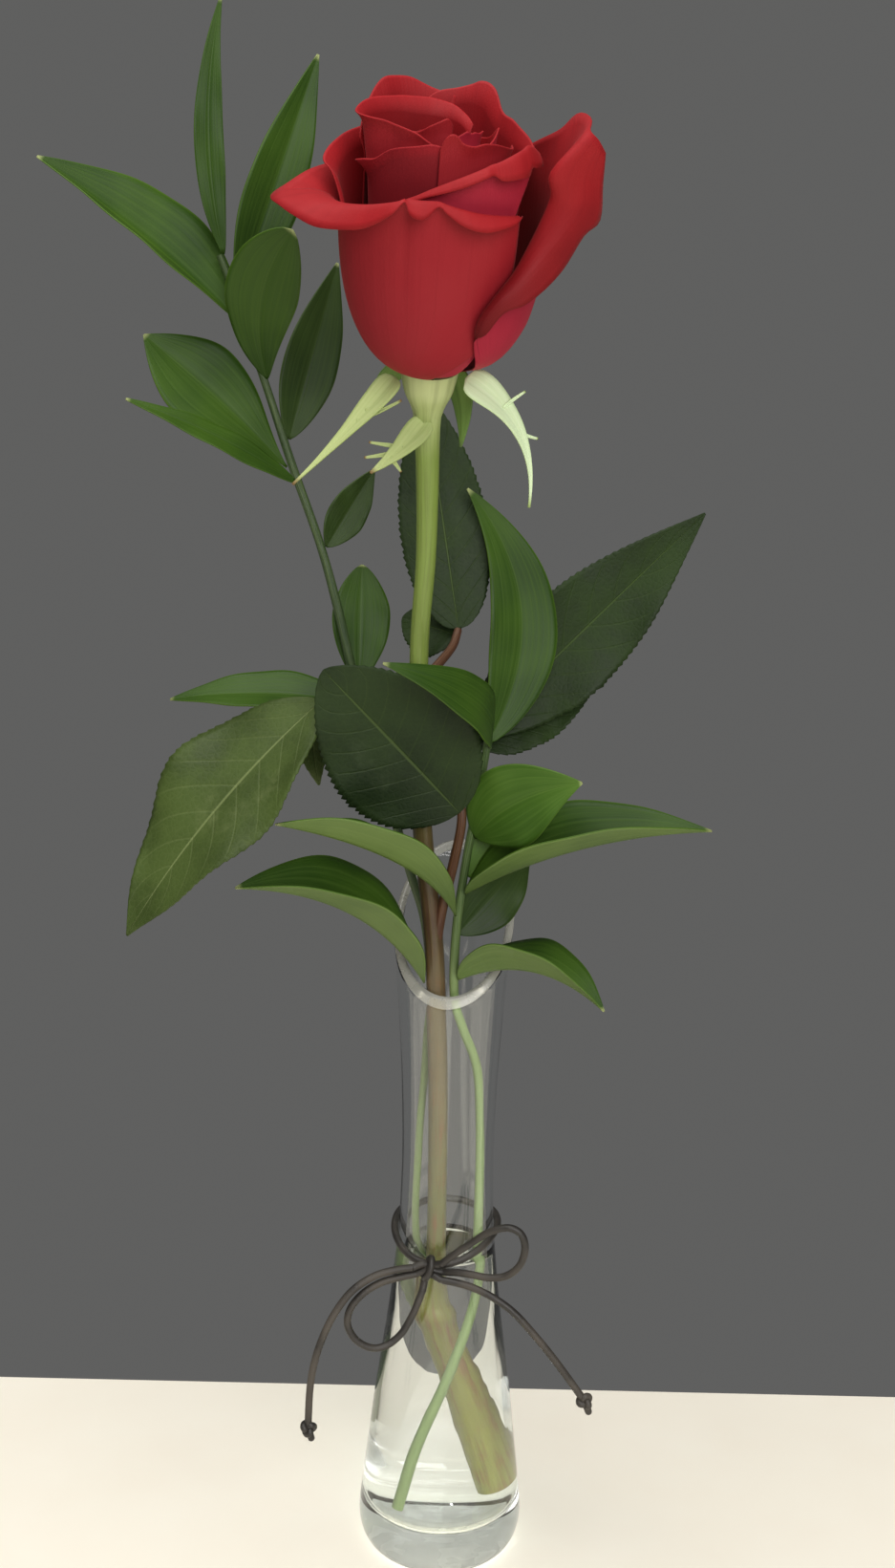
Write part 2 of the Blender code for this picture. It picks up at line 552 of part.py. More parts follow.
TAIL_LEFT = [
    (-8.9, -17.6, 92.8), (-13.6, -18.8, 92.6), (-19.2, -20.4, 91.4), (-24.8, -22.2, 88), (-29.2, -23.6, 82.2),
    (-32.2, -24.5, 75.8), (-34.4, -25, 68.6), (-35.6, -25.2, 60.6), (-36, -25.2, 51.4),
]
TAIL_RIGHT = [
    (-0.8, -18.2, 89.6), (2.4, -18.8, 89.4), (7.4, -20, 88.6), (13, -22, 86.8), (18.5, -23.5, 83.4),
    (24.2, -24.5, 77.4), (30, -25, 70.2), (36.4, -25.2, 61.2),
]
free_cord("bow_loop_right", LOOP_RIGHT)
free_cord("bow_loop_left", LOOP_LEFT)
free_cord("bow_tail_left", TAIL_LEFT)
free_cord("bow_tail_right", TAIL_RIGHT)
lump("tail_knot_left", (-36, -25.2, 48.6), (1.9, 1.9, 2.3), 0)
lump("tail_knot_right", (38.2, -25.3, 58.7), (2.0, 2.0, 2.4), -0.6)
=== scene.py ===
import math

import bmesh
import bpy
import numpy as np
from mathutils import Matrix, Vector


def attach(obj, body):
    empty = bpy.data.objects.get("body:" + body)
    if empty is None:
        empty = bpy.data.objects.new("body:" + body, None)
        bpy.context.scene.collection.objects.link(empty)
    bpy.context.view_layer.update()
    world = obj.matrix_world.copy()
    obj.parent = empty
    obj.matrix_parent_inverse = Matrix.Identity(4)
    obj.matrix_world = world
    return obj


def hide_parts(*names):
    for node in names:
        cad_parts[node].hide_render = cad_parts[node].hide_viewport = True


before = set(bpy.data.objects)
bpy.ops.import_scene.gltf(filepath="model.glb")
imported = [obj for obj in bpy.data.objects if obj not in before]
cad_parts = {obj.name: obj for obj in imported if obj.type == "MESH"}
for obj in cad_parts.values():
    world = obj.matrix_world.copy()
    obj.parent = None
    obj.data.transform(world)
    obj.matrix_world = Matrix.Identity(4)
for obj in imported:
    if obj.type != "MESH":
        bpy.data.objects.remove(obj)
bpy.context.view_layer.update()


# The camera stands about half a metre in front of the flower, level with its head. It looks a little
# down at it, and it is rolled so that the vase stands just off upright.
def placed(name, data):
    """A new object in the scene that shows this data."""
    made = bpy.data.objects.new(name, data)
    bpy.context.scene.collection.objects.link(made)
    return made


lens = bpy.data.cameras.new("table camera")
lens.lens = 43.88
lens.sensor_width = 36
lens.clip_start = 0.02
LOOK_DOWN = math.radians(13.8)
ROLL = math.radians(1.3)
camera = placed("table camera", lens)
camera.matrix_world = (
    Matrix.Translation((-0.0024, -0.484, 0.341))
    @ Matrix.Rotation(math.radians(90) - LOOK_DOWN, 4, "X")
    @ Matrix.Rotation(ROLL, 4, "Z")
)
bpy.context.scene.camera = camera
bpy.context.scene.view_settings.view_transform = "Standard"


# The bow is one limp black waxed cotton cord, about 2 mm thick, tied round the neck of the vase. It has
# a loop and a tail on each side, and each tail ends in an overhand knot with a short cut end.
MM = 0.001


def worked(operation, flipped=False):
    """A method of a wire that adds the node for a sum, with its sides changed over if flipped."""

    def method(self, *others):
        values = (*others, self) if flipped else (self, *others)
        flows = [isinstance(v, tuple) or (isinstance(v, Wire) and v.vector) for v in values]
        if operation == "MULTIPLY" and flows[0] != flows[1]:
            flow, size = values if flows[0] else values[::-1]
            return self.recipe.node("ShaderNodeVectorMath", {0: flow, 3: size}, operation="SCALE")
        kind = "ShaderNodeVectorMath" if any(flows) else "ShaderNodeMath"
        return self.recipe.node(kind, values, operation=operation)

    return method


class Wire:
    """What comes out of a node's socket. Sums and products on it add the nodes that work them out."""

    __add__, __radd__ = worked("ADD"), worked("ADD", flipped=True)
    __sub__, __rsub__ = worked("SUBTRACT"), worked("SUBTRACT", flipped=True)
    __mul__, __rmul__ = worked("MULTIPLY"), worked("MULTIPLY", flipped=True)
    __truediv__, __rtruediv__ = worked("DIVIDE"), worked("DIVIDE", flipped=True)
    __pow__ = worked("POWER")
    __abs__ = worked("ABSOLUTE")
    log = worked("LOGARITHM")
    most = worked("MAXIMUM")
    part = worked("FRACT")
    sine = worked("SINE")
    cosine = worked("COSINE")
    cross = worked("CROSS_PRODUCT")
    unit = worked("NORMALIZE")

    def __init__(self, recipe, socket):
        self.recipe = recipe
        self.socket = socket
        self.vector = socket.type == "VECTOR"

    def between(self, low, high, start=0.0, end=1.0):
        """Eases from start to end as this goes from low to high."""
        ends = {0: self, 1: low, 2: high, 3: start, 4: end}
        return self.recipe.node("ShaderNodeMapRange", ends, interpolation_type="SMOOTHSTEP")


class Recipe:
    """A node tree that is being written, for a surface or for a mesh."""

    def __init__(self, tree):
        self.tree = tree
        tree.nodes.clear()

    def node(self, kind, inputs=(), out=0, stops=(), **settings):
        """Adds a node with its settings and what goes into its sockets, by place or by name."""
        made = self.tree.nodes.new(kind)
        for name, value in settings.items():
            setattr(made, name, value)
        if stops:
            ramp = made.color_ramp.elements
            while len(ramp) < len(stops):
                ramp.new(1)
            for stop, (place, colour) in zip(ramp, stops):
                stop.position = place
                stop.color = paint(colour)
        for key, value in inputs.items() if isinstance(inputs, dict) else enumerate(inputs):
            if isinstance(value, Wire):
                self.tree.links.new(value.socket, made.inputs[key])
            else:
                made.inputs[key].default_value = value
        return Wire(self, made.outputs[out]) if made.outputs else None

    def axes(self, place):
        """The x, y and z of a place, each as a wire."""
        split = self.node("ShaderNodeSeparateXYZ", [place]).socket.node
        return [Wire(self, socket) for socket in split.outputs]

    def point(self, *sides):
        return self.node("ShaderNodeCombineXYZ", sides)

    def attribute(self, name, out=1):
        return self.node("ShaderNodeAttribute", out=out, attribute_name=name)

    def stored(self, shape, name, value, kind="FLOAT_VECTOR"):
        """The shape with a value kept at each point, under a name that a surface can read."""
        ends = {0: shape, 2: name, 3: value}
        return self.node("GeometryNodeStoreNamedAttribute", ends, data_type=kind, domain="POINT")

    def blend(self, share, first, second):
        """A colour between two, by a share from 0 to 1."""
        ends = {0: share, 6: paint(first), 7: paint(second)}
        return self.node("ShaderNodeMix", ends, out=2, data_type="RGBA")

    def noise(self, place, scale, detail=2.0, roughness=0.5):
        ends = {"Vector": place, "Scale": scale, "Detail": detail, "Roughness": roughness}
        return self.node("ShaderNodeTexNoise", ends)


def paint(colour):
    """What a colour socket takes, for a wire or for red, green and blue out of 255."""
    if isinstance(colour, Wire):
        return colour
    return (*(((part / 255 + 0.055) / 1.055) ** 2.4 for part in colour), 1)


def surface(name, describe, *given, **constants):
    """A material: describe(recipe, place, *given) returns what varies, and the rest is constant."""
    made = bpy.data.materials.new(name)
    made.use_nodes = True
    recipe = Recipe(made.node_tree)
    place = recipe.node("ShaderNodeTexCoord", out="Object")
    varied = describe(recipe, place, *given)
    if "Bump" in varied:
        height, depth = varied.pop("Bump")
        ends = {"Height": height, "Strength": 1.0, "Distance": depth}
        varied["Normal"] = recipe.node("ShaderNodeBump", ends)
    shader = recipe.node("ShaderNodeBsdfPrincipled", {**constants, **varied})
    if "Transmission Weight" in constants:
        shadow = recipe.node("ShaderNodeLightPath", out="Is Shadow Ray")
        clear = recipe.node("ShaderNodeBsdfTransparent", {"Color": (0.93, 0.95, 0.95, 1)})
        shader = recipe.node("ShaderNodeMixShader", [shadow, shader, clear])
    recipe.node("ShaderNodeOutputMaterial", [shader])
    return made


def mesh_recipe(name, **kinds):
    """A geometry tree with named inputs. Returns its recipe and a wire for each input."""
    tree = bpy.data.node_groups.new(name, "GeometryNodeTree")
    recipe = Recipe(tree)
    for label, kind in kinds.items():
        tree.interface.new_socket(label, in_out="INPUT", socket_type="NodeSocket" + kind)
    tree.interface.new_socket("mesh", in_out="OUTPUT", socket_type="NodeSocketGeometry")
    entry = tree.nodes.new("NodeGroupInput")
    return recipe, {label: Wire(recipe, entry.outputs[label]) for label in kinds}


def finish_recipe(recipe, shape, finish):
    """Ends a geometry tree: real faces, smooth, with their material."""
    shape = recipe.node("GeometryNodeRealizeInstances", {0: shape})
    shape = recipe.node("GeometryNodeSetShadeSmooth", {0: shape})
    shape = recipe.node("GeometryNodeSetMaterial", {0: shape, 2: finish})
    recipe.node("NodeGroupOutput", [shape])


def make(name, recipe, sizes, start=None):
    """Runs a geometry tree on a start shape and returns the result as a plain mesh."""
    seed = placed(name, start or bpy.data.meshes.new(name))
    run = seed.modifiers.new("shape", "NODES")
    run.node_group = recipe.tree
    for item in recipe.tree.interface.items_tree:
        if item.name in sizes:
            run[item.identifier] = sizes[item.name]
    graph = bpy.context.evaluated_depsgraph_get()
    mesh = bpy.data.meshes.new_from_object(seed.evaluated_get(graph))
    bpy.data.objects.remove(seed)
    mesh.name = name
    return mesh


def put(name, mesh, node):
    """Places a finished mesh on the object, in place of its CAD node."""
    piece = placed(name, mesh)
    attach(piece, "root")
    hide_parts(node)
    return piece


def smoothed(points, apart=1.0, steps=None):
    """Rows on a smooth curve through these, about this far apart or so many steps to each gap."""
    rows = np.array(points, float)
    rows = np.concatenate([2 * rows[:1] - rows[1:2], rows, 2 * rows[-1:] - rows[-2:-1]])
    made = []
    for a, b, c, d in zip(rows, rows[1:], rows[2:], rows[3:]):
        count = steps or max(1, round(float(np.linalg.norm((c - b)[:3])) / apart))
        for t in np.arange(count) / count:
            cubic = 2 * b + (c - a) * t + (2 * a - 5 * b + 4 * c - d) * t**2
            made.append(0.5 * (cubic + (3 * b - a - 3 * c + d) * t**3))
    return np.array([*made, rows[-2]])


drawn, size = mesh_recipe(
    "length drawn along a path", path="Geometry", step="Float", sides="Int", finish="Material"
)
line = drawn.node(
    "GeometryNodeResampleCurve", {0: size["path"], 3: size["step"]}, mode="LENGTH",
    keep_last_segment=True,
)
ring = drawn.node("GeometryNodeCurvePrimitiveCircle", {0: size["sides"], 4: 1.0}, mode="RADIUS")
ring = drawn.stored(ring, "round", drawn.node("GeometryNodeInputPosition"))
line = drawn.stored(line, "way", drawn.node("GeometryNodeSplineParameter", out="Length"), "FLOAT")
CAPPED = True
swept = {0: line, 1: ring, 2: drawn.node("GeometryNodeInputRadius"), 3: CAPPED}
finish_recipe(drawn, drawn.node("GeometryNodeCurveToMesh", swept), size["finish"])
WELD = 0.01


def tube_mesh(name, points, finish, step=0.5, sides=12, closed=False, radius=None):
    """A round length with closed ends, along points (x, y, z, radius) or (x, y, z) in millimetres."""
    rows = np.array(points, float)
    if radius:
        rows = np.column_stack([rows, np.full(len(rows), radius)])
    curve = bpy.data.curves.new(name, "CURVE")
    curve.dimensions = "3D"
    spline = curve.splines.new("POLY")
    spline.points.add(len(rows) - 1)
    spline.use_cyclic_u = closed
    for point, (x, y, z, reach) in zip(spline.points, rows * MM):
        point.co = (x, y, z, 1)
        point.radius = reach
    mesh = make(name, drawn, {"step": step * MM, "sides": sides, "finish": finish}, curve)
    shape = bmesh.new()
    shape.from_mesh(mesh)
    bmesh.ops.remove_doubles(shape, verts=shape.verts, dist=WELD * MM)
    bmesh.ops.recalc_face_normals(shape, faces=shape.faces)
    shape.to_mesh(mesh)
    shape.free()
    return mesh


def joined(name, meshes):
    """Several meshes of one material as one."""
    shape = bmesh.new()
    for mesh in meshes:
        shape.from_mesh(mesh)
    made = bpy.data.meshes.new(name)
    shape.to_mesh(made)
    shape.free()
    made.materials.append(meshes[0].materials[0])
    return made


def turns(count):
    """This many angles, evenly round a full turn."""
    return np.linspace(0, 2 * math.pi, count, endpoint=False)


def waxed(recipe, place):
    patches = recipe.noise(place, 90)
    return {
        "Base Color": recipe.blend(patches.between(0.35, 0.7), (40, 37, 34), (72, 66, 59)),
        "Roughness": patches.between(0.3, 0.7, 0.45, 0.62),
        "Bump": (recipe.noise(place, 1400, detail=3), 0.00012),
    }


waxed_cord = surface("waxed cord", waxed)
CORD = 2.0
LOOP_RIGHT = [
    (-1.2, -18.3, 94.4), (2.2, -19.3, 97.8), (7.1, -19.8, 101.8), (11.3, -21, 105.4), (16.3, -22, 107.3),
    (19.8, -22.5, 105.7), (20.9, -22.5, 101.4), (19.6, -22, 96.4), (16.2, -21, 92.8), (11.6, -20, 91.6),
    (7.2, -18.7, 91.7), (3.2, -17.5, 91.6), (-0.6, -16.3, 91),
]
LOOP_LEFT = [
    (-7.9, -16.8, 90.6), (-11.8, -18, 90.2), (-17.2, -19.5, 89.2), (-22, -21, 86.6), (-25.2, -22, 82.6),
    (-25.8, -22.5, 78), (-23.4, -22.5, 73.6), (-19.2, -22, 71.2), (-15.2, -21, 71.6), (-11.6, -20, 74.4),
    (-9.2, -19, 78.2), (-7.3, -18, 82.4), (-6, -17, 86),
]
TAIL_LEFT = [
    (-8.9, -17.6, 92.8), (-13.6, -18.8, 92.6), (-19.2, -20.4, 91.4), (-24.8, -22.2, 88),
    (-29.2, -23.6, 82.2), (-32.2, -24.5, 75.8), (-34.4, -25, 68.6), (-35.6, -25.2, 60.6),
    (-36, -25.2, 51.4), (-36, -25.2, 49.4),
]
TAIL_RIGHT = [
    (-0.8, -18.2, 89.6), (2.4, -18.8, 89.4), (7.4, -20, 88.6), (13, -22, 86.8), (18.5, -23.5, 83.4),
    (24.2, -24.5, 77.4), (30, -25, 70.2), (36.4, -25.2, 61.2), (37.4, -25.3, 59.8),
]
COIL_SIZE = 0.52
COIL_TILT = math.radians(70)
COIL_CORD = 0.92


def end_knot(node, middle, turn, tail):
    """An overhand knot, drawn tight, with a short cut end that sticks out below."""
    name = node + "_tied"
    middle, tail = np.array(middle), np.array(tail)
    t = turns(48)
    coil = np.column_stack([
        np.sin(t) + 2 * np.sin(2 * t), np.cos(t) - 2 * np.cos(2 * t), -1.6 * np.sin(3 * t),
    ])
    tilt = np.array(Matrix.Rotation(turn, 3, "Y") @ Matrix.Rotation(COIL_TILT, 3, "X"))
    coil = coil * COIL_SIZE @ tilt.T + middle
    knot = tube_mesh(name, coil, waxed_cord, 0.3, closed=True, radius=COIL_CORD)
    cut_end = [(*middle, 1.0), (*(middle + tail), 0.95), (*(middle + tail * 1.12), 0.6)]
    return put(name, joined(name, [knot, tube_mesh(name, cut_end, waxed_cord, 0.3)]), node)


knot_left = end_knot("tail_knot_left", (-36, -25.2, 48.6), 0.2, (0.9, 0.0, -3.2))
knot_right = end_knot("tail_knot_right", (38.2, -25.3, 58.7), -0.6, (1.2, 0.1, -3.4))
for node, route, far_end, lay, pieces in (
    ("bow_loop_right", LOOP_RIGHT, "object", "loose", []),
    ("bow_loop_left", LOOP_LEFT, "object", "hanging", []),
    ("bow_tail_left", TAIL_LEFT, "knot", "hanging", [knot_left]),
    ("bow_tail_right", TAIL_RIGHT, "knot", "hanging", [knot_right]),
):
    name = node + "_cord"
    route = smoothed(route)
    run = put(name, tube_mesh(name, route, waxed_cord, radius=CORD / 2), node)


# The ring that the cord makes round the neck, and the knot in front of it: one wrap drawn tight over the
# crossing of the two loops and the two tails. Both are the same waxed cord, held by their own tension.
VASE_OUTSIDE = np.array([
    (0, 17.5), (1.2, 20.2), (4, 22.1), (9, 23), (15.6, 22.5), (31.6, 20.7), (45, 19.2), (57, 17.6),
    (69, 16), (79, 14.8), (88, 13.9), (97, 13.1), (108, 12.7), (120, 12.5), (134, 12.8), (148, 13.4),
    (165.5, 14.5), (184, 16), (203.2, 17.9),
])
KNOT_TURN = math.radians(-107)
RING_BACK = 98.5
RING_DROP = 6.5
RING_SLACK = 0.1


def ring_point(angle):
    """The centre of the cord at an angle round the neck, lower towards the knot."""
    front = (1 - math.cos(angle - KNOT_TURN - math.pi)) / 2
    height = RING_BACK - RING_DROP * front**3
    reach = np.interp(height, *VASE_OUTSIDE.T) + RING_SLACK + CORD / 2
    return math.cos(angle) * reach, math.sin(angle) * reach, height


round_neck = [ring_point(angle) for angle in turns(96)]
neck_ring = tube_mesh("neck_ring_cord", round_neck, waxed_cord, closed=True, radius=CORD / 2)
put("neck_ring_cord", neck_ring, "cord_ring")
KNOT = np.array([-4.65, -15.6, 92.0])
WRAP_CORD = 0.98
wrap = [
    KNOT + (0.9 * math.sin(a) + 0.35 * math.cos(a), -2.2 * math.cos(a) - 0.5, 2.7 * math.sin(a))
    for a in turns(40)
]
CROSSINGS = [
    [(-1.2, -18.3, 94.4), (-3.4, -17.2, 93.4), (-5.6, -16.8, 91.6), (-7.9, -16.8, 90.6)],
    [(-0.6, -16.3, 91), (-3.0, -16.2, 91.4), (-5.6, -16.2, 93.2), (-8.9, -17.6, 92.8)],
    [(-0.8, -18.2, 89.6), (-3.2, -17.4, 90.6), (-5.0, -15.6, 90.2), (-6, -17, 86)],
]
runs = [tube_mesh("wrap", wrap, waxed_cord, 0.4, closed=True, radius=WRAP_CORD)]
for route in CROSSINGS:
    runs.append(tube_mesh("crossing", smoothed(route, 0.6), waxed_cord, radius=CORD / 2))
put("bow_knot_tied", joined("bow_knot_tied", runs), "bow_knot")


# The vase is clear soda glass, drawn and turned hot, with a thick foot and a thin neck. Its mouth is cut
# on a slant. The rim and the dished underside of the foot are ground.
VASE_WALL = 2.1
VASE_FLOOR = 12.0
VASE_SIDES = 160
MOUTH_MIDDLE = 182.7
MOUTH_TURN = Matrix.Rotation(math.radians(-7), 3, "Z")
MOUTH_LEAN = MOUTH_TURN @ Matrix.Rotation(math.radians(49), 3, "X") @ Vector((0, 0, 1))
SLANT_START = 118.0
SLANT_ROWS = 36
BEAD_ROWS = 8
BEAD_SWELL = 0.75
OUTER_ARRIS = 0.9
INNER_ARRIS = 0.5
ROUNDS_TO_SETTLE = 8
UNDERSIDE_MIDDLE = 1.3
UNDERSIDE = [(1.2, 2.5), (1.0, 9), (0.35, 14.5), (0.0, 16.4)]
HOLLOW_FLOOR = [
    (VASE_FLOOR + 2.6, 19.4), (VASE_FLOOR + 0.9, 17.6), (VASE_FLOOR + 0.2, 14), (VASE_FLOOR, 8),
]
HOLLOW_START = VASE_FLOOR + 5
wall = smoothed(VASE_OUTSIDE, 1.5)
low = wall[wall[:, 0] < SLANT_START]


def mouth_height(radius, angle):
    """The height of the slanted mouth's plane at a radius and an angle."""
    out = math.cos(angle) * MOUTH_LEAN.x + math.sin(angle) * MOUTH_LEAN.y
    return MOUTH_MIDDLE - radius * out / MOUTH_LEAN.z


def cut_wall(top, depth):
    """(height, radius) up the part of the wall that the slant cuts, this deep in the glass."""
    heights = SLANT_START + np.linspace(0, 1, SLANT_ROWS) * (top - SLANT_START)
    return np.column_stack([heights, np.interp(heights, *wall.T) - depth])


def vase_column(angle):
    """(height, radius) from under the foot, up the outside, over the rim and down the inside."""
    top = MOUTH_MIDDLE
    for _ in range(ROUNDS_TO_SETTLE):
        top = mouth_height(np.interp(top, *VASE_OUTSIDE.T), angle)
    outside = np.vstack([low[1:], cut_wall(top - OUTER_ARRIS, 0)])
    outer_top, radius = outside[-1]
    inner_top = mouth_height(radius - VASE_WALL, angle) - INNER_ARRIS
    bead = []
    for t in np.arange(1, BEAD_ROWS) / BEAD_ROWS:
        swell = BEAD_SWELL * math.sin(math.pi * t)
        bead.append((outer_top + (inner_top - outer_top) * t + swell, radius - VASE_WALL * t))
    deep = low[low[:, 0] > HOLLOW_START] - (0, VASE_WALL)
    inside = np.vstack([deep, cut_wall(inner_top, VASE_WALL)])[::-1]
    return np.vstack([UNDERSIDE, outside, bead, inside, HOLLOW_FLOOR])


def spun(name, columns, middles, finishes, ground=()):
    """A closed shell from one (height, radius) column for each angle, with a point at both ends.

    ground says which rings of faces take the second finish.
    """
    shape = bmesh.new()
    rows = []
    for angle, column in zip(turns(len(columns)), columns):
        x, y = math.cos(angle) * MM, math.sin(angle) * MM
        rows.append([shape.verts.new((r * x, r * y, h * MM)) for h, r in column])
    first, last = (shape.verts.new((0, 0, h * MM)) for h in middles)
    for row, after in zip(rows, rows[1:] + rows[:1]):
        for ring, corners in enumerate(zip(row, after, after[1:], row[1:])):
            shape.faces.new(corners).material_index = int(ring in ground)
        shape.faces.new((first, after[0], row[0])).material_index = int(0 in ground)
        shape.faces.new((last, row[-1], after[-1]))
    bmesh.ops.recalc_face_normals(shape, faces=shape.faces)
    mesh = bpy.data.meshes.new(name)
    shape.to_mesh(mesh)
    shape.free()
    mesh.shade_smooth()
    for finish in finishes:
        mesh.materials.append(finish)
    return mesh


def drawn_glass(recipe, place):
    stretched = recipe.node("ShaderNodeMapping", {"Vector": place, "Scale": (220, 220, 6)})
    draw_lines = recipe.noise(stretched, 1.0, detail=1)
    return {"Bump": (draw_lines * recipe.axes(place)[2].between(0.02, 0.06), 0.0001)}


def ground_edge(recipe, place):
    grinding = recipe.noise(place, 300, detail=1)
    return {"Roughness": grinding.between(0.3, 0.7, 0.2, 0.3)}


GLASS_BENDS = 1.5
clear_glass = surface("clear drawn glass", drawn_glass, **{
    "Base Color": (0.97, 0.985, 0.98, 1), "Roughness": 0.015, "IOR": GLASS_BENDS,
    "Transmission Weight": 1.0,
})
ground_glass = surface("ground glass rim", ground_edge, **{
    "Base Color": (0.76, 0.75, 0.67, 1), "IOR": GLASS_BENDS, "Transmission Weight": 0.6,
})
columns = [vase_column(angle) for angle in turns(VASE_SIDES)]
rim_start = len(UNDERSIDE) + len(low) + SLANT_ROWS - 2
ground = {0, 1, 2, *range(rim_start, rim_start + BEAD_ROWS)}
ends = (UNDERSIDE_MIDDLE, VASE_FLOOR)
vase = spun("turned_glass_vase", columns, ends, [clear_glass, ground_glass], ground)
put("turned_glass_vase", vase, "vase")


# The water fills the vase to just under the cord. It wets the glass, so its sides meet the wall with no
# gap, and its surface climbs a little at the wall.
WATER_LEVEL = 90.5
WETS = 0.12
WATER_BENDS = 1.333
inside = columns[0][np.argmax(columns[0][:, 0]) + BEAD_ROWS // 2:]
FLOOR_EDGE = VASE_FLOOR + 4
wet = [
    (h - (WETS if h < FLOOR_EDGE else 0), r + WETS) for h, r in inside if h < WATER_LEVEL - 0.5
]
edge = float(np.interp(WATER_LEVEL, *VASE_OUTSIDE.T)) - VASE_WALL
top = [
    (WATER_LEVEL, 1.0), (WATER_LEVEL, edge * 0.6), (WATER_LEVEL + 0.1, edge - 2.2),
    (WATER_LEVEL + 0.45, edge - 0.9), (WATER_LEVEL + 1.2, edge + WETS),
]


def still(recipe, place):
    return {"Bump": (recipe.noise(place, 60, detail=1), 0.0001)}


clear_water = surface("still water", still, **{
    "Base Color": (0.985, 0.99, 0.985, 1), "Roughness": 0.0, "IOR": WATER_BENDS,
    "Transmission Weight": 1.0,
})
water = spun("water_fill", [top + wet] * 96, (WATER_LEVEL, VASE_FLOOR - WETS), [clear_water])
put("water_fill", water, "water")


# The rose's stem is one woody green cane with its bark on, cut across at the foot. It swells at a leaf
# joint under the water, browns towards the mouth and ends in the pale receptacle that holds the flower.
# Three thin brown-red petioles grow from it.
ROSE_STEM = [
    (10.4, 8, 13.5, 4), (4.5, 6, 43, 3.7), (-0.6, 4.2, 64, 3.4), (-1.8, 3.6, 70, 4), (-2.5, 3, 76, 3),
    (-2.6, 0.4, 100, 2.6), (-2.9, -4, 136, 2.5), (-4, -8.3, 165, 2.5), (-5.4, -9.8, 186, 2.5),
    (-8.4, -13.4, 212, 2.5), (-9.8, -18.6, 238, 2.4), (-10, -24, 263, 2.3), (-8.8, -28.4, 284, 2.4),
    (-8.7, -31.6, 303, 2.7), (-9, -34.2, 316, 3.1), (-8.9, -35.6, 320, 3.8), (-8.8, -37, 323.8, 5.6),
    (-8.6, -39, 329, 6.8),
]
PETIOLES = {
    "right": [
        (-4.9, -9.2, 178, 1.5), (-3.2, -11.5, 191, 1.4), (-0.4, -14.6, 205, 1.3), (1.4, -17.2, 217, 1.2),
        (0.4, -14, 225, 1.1), (1.4, -7, 231.5, 1.0), (4.2, -3, 235, 1.0),
    ],
    "left": [
        (-9.3, -17.6, 233, 1.5), (-14, -18.6, 240, 1.2), (-23, -19.2, 246, 1.1),
        (-33.6, -19.6, 247.6, 1.0),
    ],
    "back": [
        (-9.9, -21.6, 252, 1.5), (-6, -17, 256, 1.2), (-2, -10, 260, 1.1), (-0.6, -5.6, 263.6, 1.0),
    ],
}
STEM_TOP = 0.335


def streaked(recipe, scale, detail):
    """Streaks that run the length of a stem: a noise that changes round it, and slowly along it."""
    place = recipe.attribute("round") * 3 + recipe.point(0.0, 0.0, recipe.attribute("way", out=2) * 40)
    return recipe.noise(place, scale, detail)


def bark(recipe, place):
    height = recipe.axes(place)[2]
    streaks = streaked(recipe, 1.6, 4)
    blotches = recipe.noise(place, 160, detail=3)
    colour = recipe.node("ShaderNodeValToRGB", {0: height / STEM_TOP}, stops=[
        (0.0, (130, 130, 60)), (0.2, (120, 118, 52)), (0.3, (98, 98, 54)), (0.42, (98, 86, 58)),
        (0.52, (90, 76, 52)), (0.56, (76, 52, 38)), (0.66, (92, 80, 44)), (0.75, (114, 134, 56)),
        (0.92, (122, 144, 62)), (0.965, (184, 194, 134)),
    ])
    red = (streaks + blotches * 0.5).between(0.72, 1.05) * height.between(0.25, 0.1)
    colour = recipe.blend(red * 0.8, colour, (128, 62, 48))
    return {
        "Base Color": recipe.blend(streaks.between(0.35, 0.7, 0, 0.3), colour, (86, 92, 40)),
        "Roughness": blotches.between(0.3, 0.7, 0.38, 0.55),
        "Bump": (streaks * 0.6 + blotches * 0.4, 0.0003),
    }


def young_bark(recipe, place):
    streaks = streaked(recipe, 2, 3)
    colour = recipe.blend(streaks.between(0.3, 0.7), (66, 36, 24), (98, 66, 40))
    return {"Base Color": colour, "Roughness": 0.5, "Bump": (streaks, 0.0002)}


stem_bark = surface("rose stem bark", bark, **{"Coat Weight": 0.12})
petiole_bark = surface("petiole bark", young_bark)
cane = tube_mesh("rose_stem_cane", smoothed(ROSE_STEM), stem_bark, 0.8, 24)
cane.materials.append(petiole_bark)
shape = bmesh.new()
shape.from_mesh(cane)
for name, route in PETIOLES.items():
    first = len(shape.faces)
    shape.from_mesh(tube_mesh(name, smoothed(route), petiole_bark, 0.8))
    shape.faces.ensure_lookup_table()
    for face in shape.faces[first:]:
        face.material_index = 1
shape.to_mesh(cane)
shape.free()
put("rose_stem_cane", cane, "rose_stem")


# The rose's leaflets are dark leathery blades with a sawtooth margin, a pale midrib and netted side
# veins. They grow from the petioles. The big left one is older, olive and scuffed.
LENGTHS = {"width": 20, "bow": 0, "hook": 0, "ripple": 0}
SHARES = {"widest": 0.42, "blunt": 1, "waves": 3, "teeth": 0, "tooth": 0, "lopsided": 0}
LEAF_SHAPE = {"fold": 0, "columns": 17, "rows": 49} | LENGTHS | SHARES
blade, size = mesh_recipe(
    "leaf blade", base="Vector", tip="Vector", facing="Vector", columns="Int", rows="Int",
    finish="Material", fold="Float", **dict.fromkeys([*LENGTHS, *SHARES], "Float"),
)
grid = blade.node("GeometryNodeMeshGrid", {0: 2.0, 1: 1.0, 2: size["columns"], 3: size["rows"]})
across, along, _ = blade.axes(blade.node("GeometryNodeInputPosition"))
along = along + 0.5
sheet = blade.stored(grid, "blade", blade.point(across, along))
base, tip, fold = size["base"], size["tip"], size["fold"]
